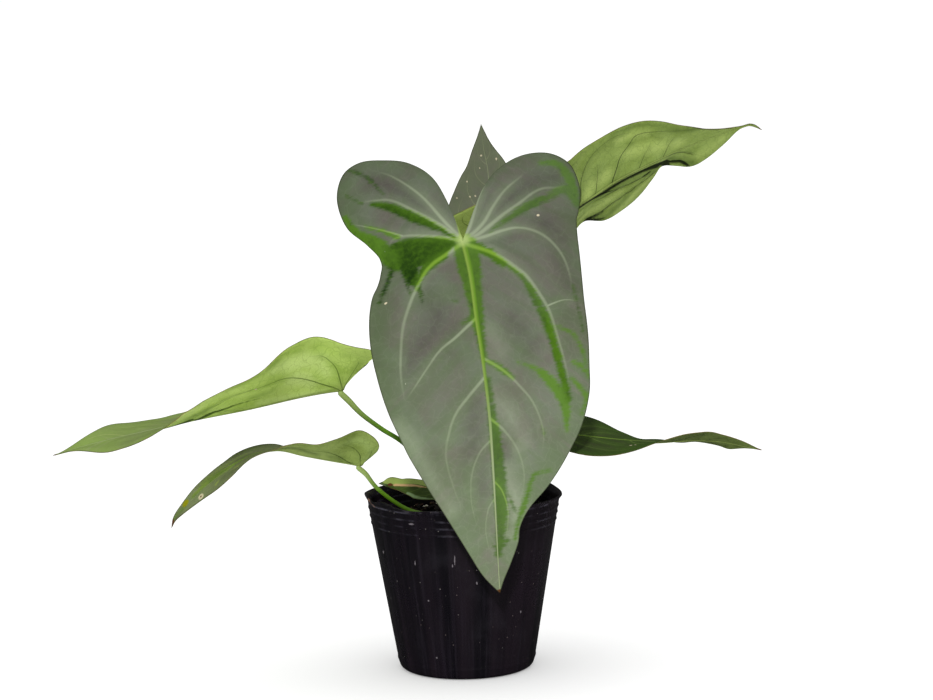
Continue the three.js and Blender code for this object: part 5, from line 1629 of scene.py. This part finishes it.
def make_crown():
    angle = np.arange(CROWN_SIDES) / CROWN_SIDES * TAU
    profile = [(0, CROWN_FOOT + 0.3), (CROWN_R - 1.5, CROWN_FOOT + 0.3), (CROWN_R - 0.4, CROWN_FOOT + 2)]
    profile += [(CROWN_R - 0.45, z) for z in np.arange(87, 91.6, 0.5)]
    profile += [(CROWN_R - 0.6, 92.0), (CROWN_R - 0.95, 92.5), (CROWN_R - 1.6, 92.85), (CROWN_R - 2.6, 93.0),
                (5, 93.1), (3, 93.15), (0, 93.2)]

    def ring(r, z):
        broad = 0.035 * (0.5 + 0.5 * np.sin(5 * angle + z * 1.1))
        narrow = 0.02 * (0.5 + 0.5 * np.sin(11 * angle - z * 2.3))
        lump = r * (1 - broad - narrow)
        lift = 0.12 * np.sin(4 * angle + r) * (1 if z > 92.4 else 0)
        return np.stack([lump * np.cos(angle), lump * np.sin(angle), z + lift], 1)

    obj = mesh_object("stem_crown", *turned(profile, CROWN_SIDES, ring), [crown_material()])
    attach(obj, "root")
    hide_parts("crown")


make_crown()

# angle round the stem in radians, height, half width and lean of each bract
BRACTS = [(1.05, 25, 3.2, 0.24), (0.25, 20, 3.2, 0.3), (-1.95, 16, 2.6, 0.1)]
BRACT_R = 11.2     # distance of the bracts from the stem's middle
BRACT = 0.7        # thickness


def bract_material():
    n = Nodes("dry papery bract")
    along, across, _ = n.apart(n.vector("flow"))
    place = n.place()
    cloud = n.noise(place, 180, 3, 0.6)
    lines = n.noise(n.join(across * 16, along * 1.2, 0.0), 1.0, 3, 0.6)
    base = n.mix(n.span(along, 0.0, 0.8), seen(116, 118, 62), seen(148, 112, 74))
    base = n.mix(n.span(lines, 0.4, 0.7, 0.0, 0.7), base, seen(98, 70, 44))
    base = n.mix(n.span(cloud, 0.55, 0.8, 0.0, 0.6), base, seen(182, 150, 108))
    return n.finish(base, n.span(cloud, 0.3, 0.7, 0.7, 0.9), n.bump(lines, 0.7, 0.0006), specular=0.25)


def make_bracts():
    material = bract_material()
    rows, cols = 40, 14
    for i, (angle, height, half, lean) in enumerate(BRACTS):
        u = np.linspace(0, 1, rows + 1)[:, None]
        v = np.linspace(-1, 1, cols + 1)[None, :]
        w = half * np.sqrt(1 - u**2.2) * (0.85 + 0.3 * u) + 0.12
        a = angle + v * w / (BRACT_R + 1) + 0.03 * np.sin(u * 9 + i)
        layers = []
        for layer in (0.08, 0.5):
            r = BRACT_R + lean * height * u**1.4 + layer * BRACT + 0.16 * np.sin(u * 11 + v * 3 + i) * u
            r = r + 0.5 * (1 - v**2) * u * BRACT
            z = SOIL_TOP + 0.3 + height * u + 0 * v
            layers.append(np.stack([r * np.cos(a), r * np.sin(a), z], 2).reshape(-1, 3))
        n = (rows + 1) * (cols + 1)
        ids = np.arange(n).reshape(rows + 1, cols + 1)
        q = np.stack([ids[:-1, :-1], ids[:-1, 1:], ids[1:, 1:], ids[1:, :-1]], 2).reshape(-1, 4)
        loop = np.concatenate([ids[0, :-1], ids[:-1, -1], ids[-1, :0:-1], ids[:0:-1, 0]])
        nxt = np.roll(loop, -1)
        strip = np.stack([loop, loop + n, nxt + n, nxt], 1)
        faces = np.vstack([q[:, ::-1], q + n, strip])
        obj = mesh_object(f"papery_bract_{i + 1}", np.vstack(layers), faces, [material])
        flow = np.stack([(u + 0 * v).ravel(), (v + 0 * u).ravel(), np.zeros(n)], 1)
        give(obj, "flow", np.vstack([flow, flow]))
        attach(obj, "root")
        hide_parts(f"bract_{i + 1}")


make_bracts()


# ------------------------------------------------------------------ studio
AMBIENT = 0.40     # how bright the white surroundings are as a light
REFLECTED = 0.07   # and how bright they are in reflections
FLOOR = 0.45       # how much light the pale table top gives back
FLOOR_DIM = 0.03   # and how much it shows in reflections
GLOW = 0.26        # how bright the table top looks of itself
BELOW = 0.55       # how much light of its own it throws up at the object
SKY = 1.02         # how bright the surroundings look
FLOOR_HALF = 12000 # half the table top's width


def gray(level):
    return (level, level, level)


def make_studio():
    n = Nodes("pale lit table top")
    cloud = n.noise(n.place(), 3, 2, 0.5)
    pale = n.mix(cloud, gray(FLOOR), gray(FLOOR + 0.02))
    pale = n.mix(n.ray("Glossy"), pale, gray(FLOOR_DIM))
    n.put(n.shader.inputs["Emission Color"], gray(1))
    n.put(n.shader.inputs["Emission Strength"], n.ray("Camera") * GLOW + n.ray("Diffuse") * BELOW)
    table = n.finish(pale, 0.9, specular=0.0)
    table.cycles.emission_sampling = "NONE"
    corners = [(x * FLOOR_HALF, y * FLOOR_HALF, 0) for x, y in ((-1, -1), (1, -1), (1, 1), (-1, 1))]
    floor = mesh_object("studio_floor", corners, [[0, 1, 2, 3]], [table], smooth=False)

    # the world looks white, lights the object more dimly than it looks, and reflects more dimly still
    world = bpy.data.worlds.new("studio")
    world.use_nodes = True
    tree = world.node_tree
    background = tree.nodes["Background"]
    background.inputs[0].default_value = (1, 1, 1, 1)
    sight = tree.nodes.new("ShaderNodeLightPath")

    def blend(share, low, high):
        """A level that is high for one kind of ray and low for the others."""
        level = tree.nodes.new("ShaderNodeMapRange")
        tree.links.new(sight.outputs[share], level.inputs["Value"])
        for socket, value in (("To Min", low), ("To Max", high)):
            if isinstance(value, bpy.types.NodeSocket):
                tree.links.new(value, level.inputs[socket])
            else:
                level.inputs[socket].default_value = value
        return level.outputs[0]

    dim = blend("Is Glossy Ray", AMBIENT, REFLECTED)
    tree.links.new(blend("Is Camera Ray", dim, SKY), background.inputs[1])
    bpy.context.scene.world = world

    def sun(name, toward, angle, power):
        light = bpy.data.lights.new(name, "SUN")
        light.angle = math.radians(angle)
        light.energy = power
        obj = bpy.data.objects.new(name, light)
        obj.location = Vector(toward).normalized() * 2
        obj.rotation_mode = "QUATERNION"
        obj.rotation_quaternion = Vector(toward).to_track_quat("Z", "Y")
        bpy.context.collection.objects.link(obj)
        return obj

    def link(light, kind, name, item, state):
        """Let a light leave out one thing, or have to do with it alone."""
        group = bpy.data.collections.new(name)
        group.objects.link(item)
        setattr(light.light_linking, kind, group)
        for entry in group.collection_objects:
            entry.light_linking.link_state = state

    # two lights for the object alone, and one for the table top that only the pot stands in
    front = sun("front_softbox", (-0.10, -1.0, 0.70), 5, 2.4)
    link(front, "receiver_collection", "not lit from the front", floor, "EXCLUDE")
    top = sun("top_softbox", (0.1, 0.1, 1.0), 70, 1.0)
    link(top, "receiver_collection", "not lit from the top", floor, "EXCLUDE")
    low = sun("table_softbox", (0.0, -0.1, 1.0), 130, 5.0)
    link(low, "receiver_collection", "lit around the pot", floor, "INCLUDE")
    link(low, "blocker_collection", "shades the table top", bpy.data.objects["nursery_pot"], "INCLUDE")
    bpy.context.scene.view_settings.view_transform = "Standard"


make_studio()
